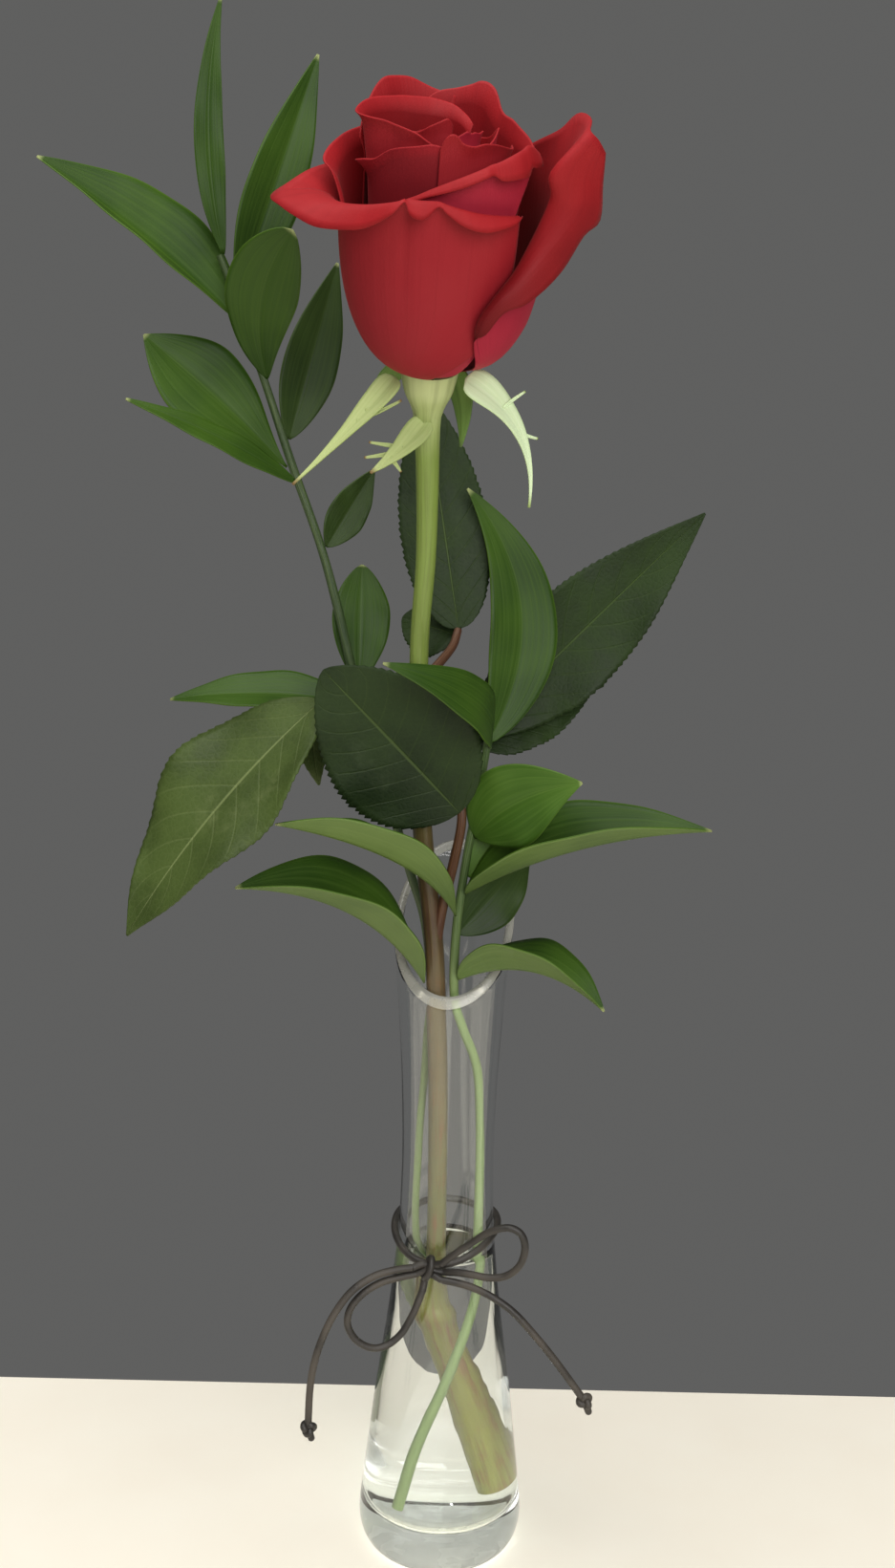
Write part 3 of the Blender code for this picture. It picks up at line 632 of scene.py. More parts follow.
line = (tip - base).unit()
side = line.cross(size["facing"]).unit()
upper = side.cross(line)
middle = (base + tip) * 0.5 + upper * (size["bow"] * 2) + side * (size["hook"] * 2)
to_go = 1 - along
spine = base * (to_go * to_go) + middle * (2 * along * to_go) + tip * (along * along)
run = ((middle - base) * to_go + (tip - middle) * along).unit()
out = run.cross(upper).unit()
lift = out.cross(run)
swell = ((along ** (math.log(0.5) / size["widest"].log(math.e))) * math.pi).sine().most(0.0)
swell = swell ** size["blunt"]
saw = (along * size["teeth"]).part() - 0.5
bulge = 1 + size["tooth"] * saw * abs(across) ** 5 + size["lopsided"] * across
NARROWEST = 0.00025
reach = swell * (size["width"] * 0.5) * bulge + NARROWEST
TROUGH, TROUGH_FLOOR = 0.02, 0.141
raised = (((across * across + TROUGH) ** 0.5) - TROUGH_FLOOR) * fold.sine()
place = spine + (out * (across * fold.cosine()) + lift * raised) * reach
FULL_TURN = 6.283
wave = (along * size["waves"] * FULL_TURN + across * 1.4).sine() * across * across * swell
CREASE = -0.00035
crease = (1 - abs(across) * 7).most(0.0) * swell * CREASE
place = place + lift * (wave * size["ripple"] + crease)
sheet = blade.node("GeometryNodeSetPosition", {0: sheet, 2: place})
ONE_POINT = 0.00002
sheet = blade.node("GeometryNodeMergeByDistance", {0: sheet, 2: ONE_POINT})
finish_recipe(blade, sheet, size["finish"])
LEAF_THICK = 0.35
SIDE_VEINS = 9.0


def blade_mesh(name, base, tip, facing, face, **given):
    """A leaf's upper face from its base to its tip, in millimetres and degrees."""
    shape = LEAF_SHAPE | given
    sizes = {word: shape[word] * MM for word in LENGTHS}
    sizes |= {word: float(shape[word]) for word in SHARES}
    sizes |= {word: shape[word] for word in ("columns", "rows")}
    sizes |= {"base": Vector(base) * MM, "tip": Vector(tip) * MM, "facing": Vector(facing)}
    return make(name, blade, sizes | {"fold": math.radians(shape["fold"]), "finish": face})


def put_blade(node, mesh, under, thick=LEAF_THICK, offset=-1, rim=0):
    """Places a blade, with a real thickness and the finish of its other side."""
    mesh.materials.append(under)
    piece = put(node + "_blade", mesh, node)
    solid = piece.modifiers.new("thickness", "SOLIDIFY")
    solid.thickness = thick * MM
    solid.offset = offset
    solid.material_offset = 1
    solid.material_offset_rim = rim


def blade_place(recipe, name="blade"):
    """Where a point is on its blade: across from -1 to 1, and along from 0 to 1."""
    return recipe.axes(recipe.attribute(name))[:2]


def netted(recipe, place, deep, light, rib, scuff, scuffed):
    """The face of a rose leaflet: a midrib, side veins that curve to the margin, and a fine net."""
    across, along = blade_place(recipe)
    far = abs(across)
    side_vein = ((along - far * 0.16 - far * far * 0.05) * SIDE_VEINS).part() - 0.5
    side_vein = abs(side_vein).between(0.07, 0.0) * far.between(1.0, 0.75)
    midrib = far.between(0.03, 0.01)
    cells = {"Vector": place, "Scale": 700}
    net = recipe.node("ShaderNodeTexVoronoi", cells, feature="DISTANCE_TO_EDGE")
    patches = recipe.noise(place, 55, detail=4, roughness=0.6)
    colour = recipe.blend(patches.between(0.3, 0.7), deep, light)
    colour = recipe.blend(side_vein * 0.09 + net.between(0.08, 0.0) * 0.05, colour, rib)
    colour = recipe.blend(midrib * 0.42, colour, rib)
    worn = recipe.noise(place, 34, detail=5, roughness=0.7).between(0.52, 0.7) * scuffed
    return {
        "Base Color": recipe.blend(worn, colour, scuff),
        "Roughness": patches.between(0.3, 0.7, 0.5, 0.62),
        "Bump": (net.between(0.0, 0.3) * 0.2 - side_vein * 0.5 - midrib, 0.00014),
    }


def leaf_back(recipe, place):
    """The underside of a rose leaflet, pale and dull with raised veins."""
    pale, rib = (84, 104, 66), (128, 146, 98)
    across, along = blade_place(recipe)
    far = abs(across)
    side_vein = abs(((along - far * 0.21) * SIDE_VEINS).part() - 0.5).between(0.08, 0.0)
    midrib = far.between(0.05, 0.01)
    colour = recipe.blend(recipe.noise(place, 90, detail=3), pale, rib)
    colour = recipe.blend(midrib + side_vein * 0.4, colour, rib)
    return {"Base Color": colour, "Roughness": 0.6, "Bump": (midrib + side_vein * 0.6, 0.0003)}


dark_leaf, back_leaf, olive_leaf = (
    surface(name, netted, *given, **{"Specular IOR Level": 0.2})
    for name, *given in (
        ("dark rose leaf", (26, 40, 18), (38, 54, 24), (84, 102, 54), (78, 92, 64), 0.3),
        ("far rose leaf", (24, 38, 12), (36, 54, 18), (70, 90, 40), (64, 82, 42), 0.2),
        ("olive rose leaf", (50, 64, 26), (66, 82, 36), (136, 148, 96), (100, 110, 68), 0.6),
    )
)
rose_leaf_back = surface("rose leaf underside", leaf_back)
LEAFLET = {"rows": 121, "columns": 21, "teeth": 26, "tooth": 0.1}
LEAFLET_GAP = 0.4


def leaflet(node, base, tip, width, facing, face=back_leaf, **given):
    node = "leaflet_" + node
    mesh = blade_mesh(node + "_blade", base, tip, facing, face, width=width, **(LEAFLET | given))
    put_blade(node, mesh, rose_leaf_back)


def beyond(petiole, drop):
    """A point just past a petiole's end, this much lower."""
    before, end = (Vector(p[:3]) for p in PETIOLES[petiole][-2:])
    return end + (end - before).normalized() * LEAFLET_GAP - Vector((0, 0, drop))


leaflet("front", (0.8, -19.2, 219.4), (-33, -30, 257), 37, (0.2, -0.93, -0.25), dark_leaf, blunt=0.68,
        ripple=0.5, fold=3, teeth=30, tooth=0.06)
leaflet("left", beyond("left", 0), (-81, -34, 190), 34, (-0.35, -0.7, 0.6), olive_leaf, bow=5, fold=8,
        ripple=2.2, waves=2.2, teeth=34, tooth=0.035, lopsided=0.06)
leaflet("left_small", beyond("left", 1.1), (-35, -12, 224), 10, (0.5, -0.8, 0.2), olive_leaf, bow=-3,
        teeth=12)
leaflet("right", beyond("right", 0), (62, 8, 293), 27, (0.3, -0.9, 0.4), bow=-3, fold=10, ripple=0.8,
        teeth=40, tooth=0.05)
leaflet("right_low", beyond("right", 1.6), (36, 12, 250), 18, (0.3, -0.7, 0.7), blunt=0.7, ripple=0.8,
        teeth=20, tooth=0.06)
leaflet("back", beyond("back", 0), (-10, 4, 320), 22, (0.1, -0.98, 0.1), dark_leaf, blunt=0.6,
        ripple=0.4, teeth=32, tooth=0.06)
leaflet("back_low", beyond("back", 1.6), (-15, 5, 265), 16, (0.1, -0.9, 0.4), blunt=0.7, ripple=0.5,
        teeth=18, tooth=0.08)


# The sepals are five narrow felted blades that fold back under the flower. They grow from the rim of the
# receptacle, the front one a little lower, and taper to a thin tip. Three of them carry thin lobes.
HEAD = Vector((-8.6, -39, 329))
HEAD_TILT = Matrix.Rotation(math.radians(21), 3, "X") @ Matrix.Rotation(math.radians(3), 3, "Y")
RIM_REACH, RIM_DROP = 7.25, 1.2


def felted(recipe, place, pale, green, tip):
    across, along = blade_place(recipe)
    down = recipe.noise(place, 900, detail=2)
    veins = recipe.noise(recipe.point(across * 6, along * 1.5), 1, detail=2)
    colour = recipe.blend(veins.between(0.35, 0.65) * 0.45, pale, green)
    colour = recipe.blend(abs(across).between(0.8, 1.0) * 0.4, colour, green)
    colour = recipe.blend(along.between(0.9, 1.0), colour, tip)
    return {"Base Color": colour, "Roughness": 0.7, "Bump": (down * 0.4 + veins * 0.15, 0.0001)}


pale_sepal = surface("pale sepal", felted, (176, 188, 126), (150, 170, 96), (120, 92, 54))
# A paler copy of the felted sepal for the right one: painted light where the lamps fall on it.
sepal_painted_light = surface("sepal with painted light", felted, (216, 234, 192), (196, 220, 164), (150, 170, 100))
green_sepal = surface("green sepal", felted, (110, 140, 66), (84, 116, 50), (90, 110, 60))


def bent(low, pull, high, t):
    """Values on a curve that starts at low, is drawn towards pull and ends at high."""
    return low * (1 - t) ** 2 + pull * 2 * t * (1 - t) + high * t**2


def receptacle_rim(turn):
    """A place on the receptacle's rim, this many degrees round."""
    angle = math.radians(turn)
    spot = (math.cos(angle) * RIM_REACH, math.sin(angle) * RIM_REACH, -RIM_DROP)
    return HEAD + HEAD_TILT @ Vector(spot)


def sepal(node, base, tip, width, bow, facing, face, lobes=(), hook=0, **given):
    """A sepal with its lobes, each lobe as (where along it, tip, width)."""
    node = "sepal_" + node
    base, tip, facing = Vector(base), Vector(tip), Vector(facing)
    given = {"width": width, "bow": bow, "hook": hook, "widest": 0.22, "ripple": 0.1, "fold": 8} | given
    meshes = [blade_mesh(node, base, tip, facing, face, **given)]
    line = (tip - base).normalized()
    side = line.cross(facing).normalized()
    middle = (base + tip) / 2 + side.cross(line) * 2 * bow + side * 2 * hook
    for along, lobe_tip, lobe_width in lobes:
        root = bent(base, middle, tip, along)
        meshes.append(blade_mesh(
            node, root, lobe_tip, facing, face, width=lobe_width, bow=-0.5, widest=0.3, blunt=1.2,
            rows=21, columns=7,
        ))
    put_blade(node, joined(node + "_blade", meshes), face)


sepal("left", (-16.4, -42, 327.2), (-38.9, -50, 303.1), 5.8, 1, (-0.35, -0.85, 0.3), pale_sepal,
      [(0.3, (-19.6, -44, 319.6), 0.5), (0.4, (-14.8, -44, 322), 0.5)],
      hook=-1.2, widest=0.12, blunt=1.5, columns=9)
sepal("front", (-9.2, -36.9, 317.6), (-21.4, -48.6, 306), 5.6, 0.4, (-0.2, -0.95, 0.2), pale_sepal,
      [(0.5, (-22, -43, 312.4), 0.5), (0.6, (-23, -44, 309), 0.5), (0.7, (-14.6, -45, 306), 0.5)],
      hook=-1, widest=0.2, blunt=1, columns=9)
sepal("right", (-0.3, -41.8, 327.2), (14.8, -46, 298.7), 7.6, 2.4, (0.5, -0.8, 0.2), sepal_painted_light,
      [(0.3, (13.2, -42, 324.4), 0.3), (0.5, (16.4, -42, 314), 0.3)],
      hook=-5, widest=0.1, blunt=1.7, columns=9)
sepal("back_right", receptacle_rim(44), (-1, -32, 311), 7, 2, (0.5, 0.6, 0.4), green_sepal)
sepal("back_left", receptacle_rim(118), (-24, -14, 316), 7, 3, (-0.4, 0.8, 0.5), green_sepal)


# The petals are thin velvety blades set in a spiral on the receptacle, the outer ones rolled back at
# their rims. The inner face is a deep red, painted darker towards its base as shade in the cup, and the
# back is rosier with fine veins. The backs of two inner petals are painted darker still, as shade.
CUP_HEIGHT = 38.0
CUP_REACH, CUP_STEP = 23.0, 1.2
CUP_ROUNDNESS = 2.5
CLAW_REACH, CLAW_STEP = 5.6, 0.35
LAYER_STEP = 0.3
LONGEST_LIP = 3.0
PETAL_THICK = 0.3
PETAL_ROWS = 30
BODY_ROWS = 20


def cup_radius(height, layer):
    """How far from the head's axis a layer of petals stands at a height."""
    part = np.clip(height / CUP_HEIGHT, 0, 1)
    rise = np.sqrt(np.maximum(1 - (1 - part) ** CUP_ROUNDNESS, 0))
    claw = CLAW_REACH - CLAW_STEP * layer
    return claw + (CUP_REACH - CUP_STEP * layer - claw) * rise


def velvet(recipe, place, deep, bright, vein):
    across, along = blade_place(recipe, "petal")
    rays = recipe.noise(recipe.point(across * 26, along * 1.6), 1, detail=4)
    cloud = recipe.noise(place, 70, detail=3)
    nap = recipe.noise(place, 2600, detail=2)
    # From deep at the base to bright at the rim: painted shade in the cup, strongest on the face. The
    # cloud towards deep is the petal's own mottling.
    colour = recipe.blend(along.between(0.25, 0.95), deep, bright)
    colour = recipe.blend(rays.between(0.45, 0.75) * 0.3, colour, vein)
    return {
        "Base Color": recipe.blend(cloud.between(0.4, 0.75) * 0.3, colour, deep),
        "Roughness": cloud.between(0.3, 0.7, 0.6, 0.74),
        "Bump": (rays * 0.35 + nap * 0.15, 0.00022),
    }


petal_face, petal_back, rose_back, painted_shade_back = (
    surface(name, velvet, *given, **{
        "Sheen Weight": 0.08, "Sheen Roughness": 0.4, "Sheen Tint": paint((255, 140, 140)),
        "Specular IOR Level": 0.22,
    })
    for name, *given in (
        # The face's deep colour is painted shade at the base of the cup.
        ("petal face", (100, 8, 14), (150, 22, 28), (134, 16, 24)),
        ("petal back", (146, 28, 38), (150, 28, 34), (132, 22, 30)),
        ("petal back, rosy", (164, 34, 56), (160, 31, 48), (144, 25, 42)),
        # A back much darker towards its base than the others: painted shade for inner petals in the gap.
        ("petal back, deep", (84, 8, 16), (150, 26, 36), (120, 16, 26)),
    )
)


def put_petal(node, spots, back):
    """A petal from its grid of points (angle, radius, height) about the head, each column base to rim."""
    angle, radius, height = np.radians(spots[..., 0]), spots[..., 1], spots[..., 2]
    local = np.stack([np.cos(angle) * radius, np.sin(angle) * radius, height], -1)
    world = (local @ np.array(HEAD_TILT).T + np.array(HEAD)) * MM
    columns, rows = angle.shape
    corners = np.arange(columns * rows).reshape(columns, rows)
    faces = np.stack([corners[:-1, :-1], corners[1:, :-1], corners[1:, 1:], corners[:-1, 1:]], -1)
    mesh = bpy.data.meshes.new(node + "_blade")
    mesh.from_pydata(world.reshape(-1, 3).tolist(), [], faces.reshape(-1, 4).tolist())
    across, along = np.meshgrid(np.linspace(-1, 1, columns), np.linspace(0, 1, rows), indexing="ij")
    place = mesh.attributes.new("petal", "FLOAT_VECTOR", "POINT")
    values = np.stack([across, along, np.zeros_like(along)], -1)
    place.data.foreach_set("vector", values.reshape(-1).astype(np.float32))
    mesh.shade_smooth()
    mesh.materials.append(back)
    put_blade(node, mesh, petal_face, PETAL_THICK, offset=0, rim=1)


def risen(values, start, end=1.0):
    """How far each value has come from start to end, from 0 to 1."""
    return np.clip((values - start) / (end - start), 0, 1)


def petal(node, layer, columns, ruffle, seed=None, parts=4, back=petal_back, claw=20.0, tuck=None):
    """A petal given by columns (angle, brow radius, brow height, rim radius, rim height) about the head.

    tuck is (angle, share): below its brow, the margin past that angle keeps only this share of its way.
    """
    seed = layer - 1 if seed is None else seed
    fine = smoothed(columns, steps=parts)
    angles = fine[:, 0]
    middle = (angles[0] + angles[-1]) / 2
    narrow = claw / max(abs(angles[0] - angles[-1]) / 2, claw)
    along = np.linspace(0, 1, PETAL_ROWS)
    foot = 0.25 + LAYER_STEP * layer
    share = np.linspace(0, 1, BODY_ROWS) ** 1.5
    t = np.linspace(0, 1, PETAL_ROWS - BODY_ROWS + 1)[1:]
    around = np.radians(angles)
    waves = np.sin(around * 7 + seed * 2.1) * 0.6 + np.sin(around * 13 + seed * 4.7) * 0.4
    spots = []
    for (angle, brow, crest, rim, edge), wave in zip(fine, ruffle * waves):
        drop = min(LONGEST_LIP, 0.5 * math.hypot(rim - brow, edge - crest) + 0.6)
        top = crest - drop
        height = foot + share * (top - foot)
        plain = cup_radius(height - LAYER_STEP * layer, layer)
        radius = plain + (brow - plain[-1]) * risen(share, 0.15) ** 1.6
        pull_up = crest + 0.9 * drop if edge < crest else (top + edge) / 2
        lip = bent(radius[-1], brow + 0.15 * (rim - brow), rim, t)
        radius = np.concatenate([radius, lip])
        height = np.concatenate([height, bent(top, pull_up, edge, t)])
        turned = np.full(PETAL_ROWS, angle)
        if tuck and (angle - tuck[0]) * (middle - tuck[0]) < 0:
            kept = tuck[1] + (1 - tuck[1]) * risen(along * PETAL_ROWS / BODY_ROWS, 0.72) ** 2
            turned = tuck[0] + (angle - tuck[0]) * kept
        opened = np.clip(height / CUP_HEIGHT / 0.55, 0, 1)
        spread = narrow + (1 - narrow) * opened * (2 - opened)
        rise = risen(along, 0.55) ** 2 * wave
        turned = middle + (turned - middle) * spread
        spots.append(np.column_stack([turned, radius + rise, height + 0.6 * rise]))
    put_petal("petal_" + node, np.array(spots), back)


# The outer right petal stands off the head. Its front margin rolls outwards in a broad strip, so it is
# given whole, as columns of (angle, radius, height) from that margin's free edge to its back margin.
OUTER_RIGHT = [
    [
        (-30, 5.6, 0.3), (-51, 15.6, 6.1), (-63.3, 20, 14.1), (-62.2, 24.4, 17.5), (-56.8, 27, 22.9),
        (-47.8, 29, 24.9), (-31.8, 31, 30.6), (-22.7, 33, 37.3), (-15, 35, 39.8), (-17.5, 35, 48),
        (-21.7, 35.5, 55.1),
    ],
    [
        (-26, 5.6, 0.3), (-48.6, 15.8, 6.1), (-62, 20.4, 14.2), (-65.1, 23.8, 19.1), (-60.3, 25.8, 24.7),
        (-51.3, 27, 28.9), (-41.7, 28.5, 34.1), (-33, 30.5, 39.7), (-27.7, 32, 44.6), (-28.3, 32, 51.4),
        (-25.3, 34.5, 58),
    ],
    [
        (-20, 5.6, 0.3), (-42.2, 15.6, 5.6), (-58.5, 20, 13.9), (-62.3, 22.3, 19.7), (-55.4, 22.9, 24.9),
        (-45, 23.3, 29.9), (-38.2, 23.8, 34.4), (-32.7, 25, 39.9), (-32.4, 26.8, 45.8),
        (-36.9, 27.5, 51.4), (-23.7, 32, 59.8),
    ],
    [
        (-8, 5.6, 0.3), (-25, 15.3, 5), (-28, 20.2, 12), (-28, 22.3, 19), (-27, 23, 25), (-24, 23.6, 30),
        (-20, 24.2, 34), (-16, 25, 39), (-12, 26, 45), (-8, 27, 51.5), (5.4, 28.5, 58.5),
    ],
    [
        (4, 5.6, 0.3), (-2, 15.3, 5), (-2, 20.2, 12), (-1, 22.2, 18.5), (0, 22.8, 24), (2, 23.1, 29),
        (4, 23.3, 33.5), (6, 23.5, 38.5), (7, 23.7, 43.5), (8, 24, 48.5), (10.2, 24.8, 54.3),
    ],
    [
        (16, 5.6, 0.3), (22, 15.3, 5), (25, 20, 11.5), (26, 22.2, 17.5), (26, 22.7, 23), (26, 22.9, 28),
        (26, 22.9, 32), (26, 22.8, 36.5), (26, 22.6, 41), (26, 22.4, 45.5), (24.5, 22, 50.2),
    ],
    [
        (26, 5.6, 0.3), (44, 15.2, 5), (49, 19.8, 11), (51, 21.9, 16.5), (52, 22.5, 21.5), (52, 22.7, 26),
        (52, 22.8, 30), (52, 22.8, 34), (52, 22.7, 37.5), (52, 22.6, 41), (52, 22.6, 44.5),
    ],
]
net = smoothed(OUTER_RIGHT, steps=5)
net = np.swapaxes(smoothed(np.swapaxes(net, 0, 1), steps=4), 0, 1)
put_petal("petal_outer_right", net, rose_back)

petal("outer_front", 1, [
    (160, 21.5, 40, 25.6, 42.4), (168, 21.8, 40, 27.4, 42.2), (176, 22, 39.6, 29.8, 41.8),
    (183, 22.1, 39.4, 33, 40.6), (189.5, 22.2, 39.5, 37, 38.8), (197, 22.3, 40, 35.8, 38.4),
    (205, 22.4, 40.5, 34, 37.7), (213, 22.5, 41.2, 31.4, 36.6), (222, 22.5, 42, 28.4, 36.9),
    (231, 22.5, 42.9, 26.6, 37.8), (239, 22.5, 43.7, 25.8, 39.8), (247, 22.4, 44.4, 25.6, 42.6),
    (251.5, 22.2, 44.9, 24, 44.9), (256, 22.5, 45.5, 26.4, 43.2), (262.5, 22.5, 45.8, 26.6, 42.7),
    (268.5, 22.4, 45.3, 24.2, 44.8), (273, 22.5, 45, 25, 43.6), (281, 22.5, 44.4, 26.4, 41.6),
    (291, 22.5, 43.5, 26.6, 40.5), (301, 22.5, 42.6, 26, 40.7), (310, 22.4, 41.8, 24.9, 41),
    (318, 22.2, 41, 22.9, 41.4),
], 0.12, claw=24)
petal("front_right", 2, [
    (240, 20, 42.4, 20.2, 42.2), (249, 20, 44.1, 20.8, 43.6), (256, 20, 45.4, 21.6, 44.7),
    (264, 20.2, 47.1, 22.4, 46.2), (273, 20.3, 48.8, 23, 47.6), (283, 20.3, 50.4, 23.2, 49),
    (293, 20.2, 51.7, 23, 50.5), (298, 20, 52.4, 22.4, 50.6), (303, 20, 53, 22.8, 49.5),
    (314, 20, 54.4, 23.2, 49.5), (321, 20, 55, 22.8, 49.4), (325, 20, 55.3, 22.4, 50.8),
    (330, 20, 54.9, 22.4, 50.4), (338, 20, 53.1, 22.2, 49.9), (344, 20, 51.8, 21.4, 50),
], 0.1, back=rose_back, tuck=(306, 0.2))
petal("left", 3, [
    (104, 20, 46, 20.4, 48), (120, 21, 46.6, 22, 48.6), (135, 21.6, 47, 23, 49),
    (150, 22, 47, 23.8, 48.9), (162, 22.3, 46.2, 24.4, 48.2), (173, 22.6, 45.2, 25.4, 47.1),
    (182, 22.4, 43.8, 25.6, 45.6), (188, 21.8, 42, 23.8, 44), (193, 21.2, 39, 22.6, 40.5),
    (197, 20.8, 35, 21.8, 36), (200, 20.4, 30, 21, 31),
], 0.25)
petal("back", 4, [
    (30, 18.8, 47, 20.5, 49), (55, 19, 48, 21.4, 50.5), (80, 19, 48, 21.6, 50.6),
    (105, 19, 47.6, 21.2, 50), (130, 18.6, 46, 20.2, 48),
], 0.4, parts=6)
petal("back_left", 5, [
    (84, 15, 54, 15.8, 56.4), (99, 15.6, 55, 16.6, 57.4), (108, 16, 55.6, 17.4, 58.4),
    (118, 16.5, 56.8, 18.2, 59.7), (128, 16.8, 57.2, 18.6, 60.2), (138, 16.8, 57.4, 18.6, 60.3),
    (145, 17, 56.4, 18.6, 59.2), (153, 17.2, 54.8, 18.6, 57.2), (163, 17.2, 52, 18.6, 54.4),
    (176, 17, 48, 18.4, 50.5),
], 0.12)
# Its back is painted darker, as shade in the gap beside the outer right petal.
petal("back_right", 6, [
    (-22, 17.4, 45.6, 19.4, 47), (-12, 17.6, 48.4, 19.8, 50.6), (0, 17.6, 48.6, 19.6, 50.3),
    (10, 17, 50, 18.4, 52), (20, 16, 51, 17, 53.4), (28, 15.2, 52, 16, 54.7),
    (36, 14.8, 52.6, 15.4, 55.1), (43, 14.7, 53.4, 15.8, 56), (50, 15, 54.8, 16.8, 58),
    (55, 15.4, 56, 17.5, 59.2), (61, 15.8, 57, 17.8, 59.9), (67, 15.8, 57.2, 17.4, 59.9),
    (73, 15.7, 57, 17, 59), (84, 15.6, 56.2, 16.5, 58), (99, 15, 55, 15.8, 57.2),
    (110, 14.6, 53.6, 15.2, 55.4),
], 0.1, back=painted_shade_back, tuck=(22, 0.35))
# Its back is painted darker, as shade.
petal("inner_front", 7, [
    (196, 16.6, 46.2, 19.6, 47.6), (203, 16.4, 47.2, 18.6, 48.4), (211, 16, 48.2, 17.2, 49),
    (217, 15.7, 49.2, 16.6, 50.2), (224, 15.5, 50.6, 16.2, 51.7), (233, 15.3, 51.6, 15.9, 52.8),
    (246, 15, 52.4, 15.5, 53.7), (258, 14.8, 53.2, 15.1, 54.5), (266, 14.4, 53.2, 14.6, 54.2),
    (276, 13.4, 52, 13.5, 53), (292, 12.8, 51.4, 13, 52.4), (316, 12.5, 50.6, 12.7, 51.6),
    (340, 12.3, 50, 12.5, 51),
], 0.1, back=painted_shade_back)
petal("inner_left", 8, [
    (54, 8.8, 51.4, 9.8, 52.8), (66, 9.2, 53.4, 10.6, 54.3), (80, 9.6, 54.4, 11, 55.7),
    (95, 10, 54.9, 11.5, 56.4), (110, 10.4, 55.3, 12.1, 56.9), (128, 11, 55.8, 13, 57.3),
    (146, 12.8, 56.2, 14.2, 57.6), (163, 15.2, 56.4, 16.8, 57.8), (175, 17, 56.2, 18.6, 57.4),
    (184, 17.6, 55.6, 19.4, 56.5), (193, 16.2, 55.4, 17.4, 56.3), (205, 14, 55.2, 14.6, 56.4),
    (216, 12.6, 54.6, 13.2, 56.1), (228, 12, 54.3, 12.4, 55.8), (240, 11.6, 53.8, 12, 55.3),
    (250, 11.3, 52.8, 11.7, 54.2), (258, 11.1, 52, 11.5, 53.3),
], 0.08)
petal("inner_right", 6.2, [
    (266, 15.2, 52.4, 15.4, 53.6), (269, 15.2, 54.2, 15.5, 55.8), (273, 15.1, 55.4, 15.6, 57),
    (278, 15, 55.4, 15.4, 56.9), (284, 14.9, 53.8, 15.4, 55.2), (293, 14.8, 53.2, 15.4, 54.6),
    (303, 14.7, 53.5, 15.2, 54.9), (318, 14.5, 52.8, 15, 54.1), (341, 14.2, 50.8, 14.8, 52),
    (358, 13.8, 50.5, 14.2, 51.6),
], 0.1, seed=8)
petal("inner_back", 10, [
    (40, 10.4, 47.5, 10.8, 49), (64, 10.6, 48.8, 11.2, 50.6), (90, 10.4, 49.2, 10.8, 51),
    (118, 10, 49, 10.2, 50.6), (146, 9.6, 48.2, 9.8, 49.8),
], 0.3, parts=6, back=rose_back)
petal("whorl_left", 11, [
    (150, 8, 50, 7.8, 51.4), (175, 8.4, 50.4, 8.4, 51.8), (200, 8.8, 51.4, 8.9, 52.8),
    (215, 8.8, 52.8, 9.1, 54.2), (232, 8.7, 53.4, 9, 54.9), (249, 8.3, 54.9, 8.7, 56.5),
    (261, 8, 56, 8.3, 57.5), (272, 7.5, 56.4, 7.7, 58), (280, 7, 55, 7, 56.6),
], 0.15, parts=5)
petal("whorl_front", 12, [
    (284, 8, 52.8, 8.1, 54.2), (294, 7.9, 53.4, 8.2, 55), (302, 7.8, 53.8, 8.3, 55.5),
    (311, 7.7, 53.4, 8, 54.9), (320, 7.6, 53.4, 8.1, 55), (331, 7.5, 53, 7.9, 54.4),
    (345, 7.4, 53, 8, 54.5), (358, 7, 52, 7.2, 53.4),
], 0.15, parts=5, back=rose_back)
petal("whorl_right", 13, [
    (318, 9.2, 50.4, 9.4, 51.6), (335, 9.8, 51, 10, 52.2), (348, 10.3, 51.8, 10.7, 53.4),
    (359, 10.6, 52.6, 11.1, 54.8), (369, 10.4, 52, 10.8, 53.8), (380, 10, 50.6, 10, 51.8),
    (396, 9, 50, 9, 51),
], 0.1, parts=6, back=rose_back)
petal("whorl_back", 14, [
    (70, 3.6, 49, 3.8, 50.6), (110, 3.8, 50, 4.2, 52), (150, 3.8, 49.8, 4, 51.4),
    (190, 3.6, 49, 3.6, 50.4), (230, 3.2, 48.4, 3.2, 49.6),
], 0.4, parts=8, back=rose_back)
petal("centre", 15, [
    (180, 2.2, 48, 1.8, 50), (230, 2.2, 48.6, 1.8, 50.6), (280, 2.1, 49, 1.8, 51),
    (330, 2, 48.6, 1.6, 50.4), (380, 1.8, 48, 1.2, 49.8), (430, 1.5, 47.6, 0.9, 49.4),
    (480, 1.1, 47.4, 0.7, 49),
], 0.2, back=rose_back)


# Two sprigs of ruscus flank the rose. Each is a thin tough green stem, cut at the foot, with stiff leaves
# that grow straight from it. The left sprig is long and leans out, and the right one is short.
LEFT = [
    (7.4, 14.4, 14.6, 1.3), (3.6, 13, 40, 1.3), (-3.4, 9.4, 66, 1.2), (-8.8, 3.6, 94, 1.2),
    (-8.2, 1, 120, 1.2), (-6.4, 0, 148, 1.2), (-5.6, 0.6, 166, 1.2), (-7.6, 1.6, 184, 1.2),
    (-12, 2.6, 198, 1.2), (-20, 4.4, 224, 1.2), (-27, 5.6, 247, 1.2), (-31.6, 6, 266, 1.2),
    (-36.4, 6, 283, 1.1), (-44, 6, 304, 1.1), (-50.4, 6, 323, 1), (-58.6, 6, 346, 0.9),
    (-61.8, 6, 354, 0.8),
]
RIGHT = [
    (-9.6, -6, 13.6, 1.4), (-5.5, -8, 35, 1.4), (2.6, -9, 61, 1.3), (7.6, -6, 81, 1.3),
    (8.5, -2.4, 104, 1.2), (8.4, -1.6, 128, 1.2), (7, -3.6, 145, 1.2), (3, -8.4, 158, 1.2),
    (0.6, -10.2, 168, 1.2), (0.8, -10.2, 186, 1.2), (2.8, -10, 204, 1.1), (5, -10, 218, 1.1),
    (7.6, -10, 236, 1),
]


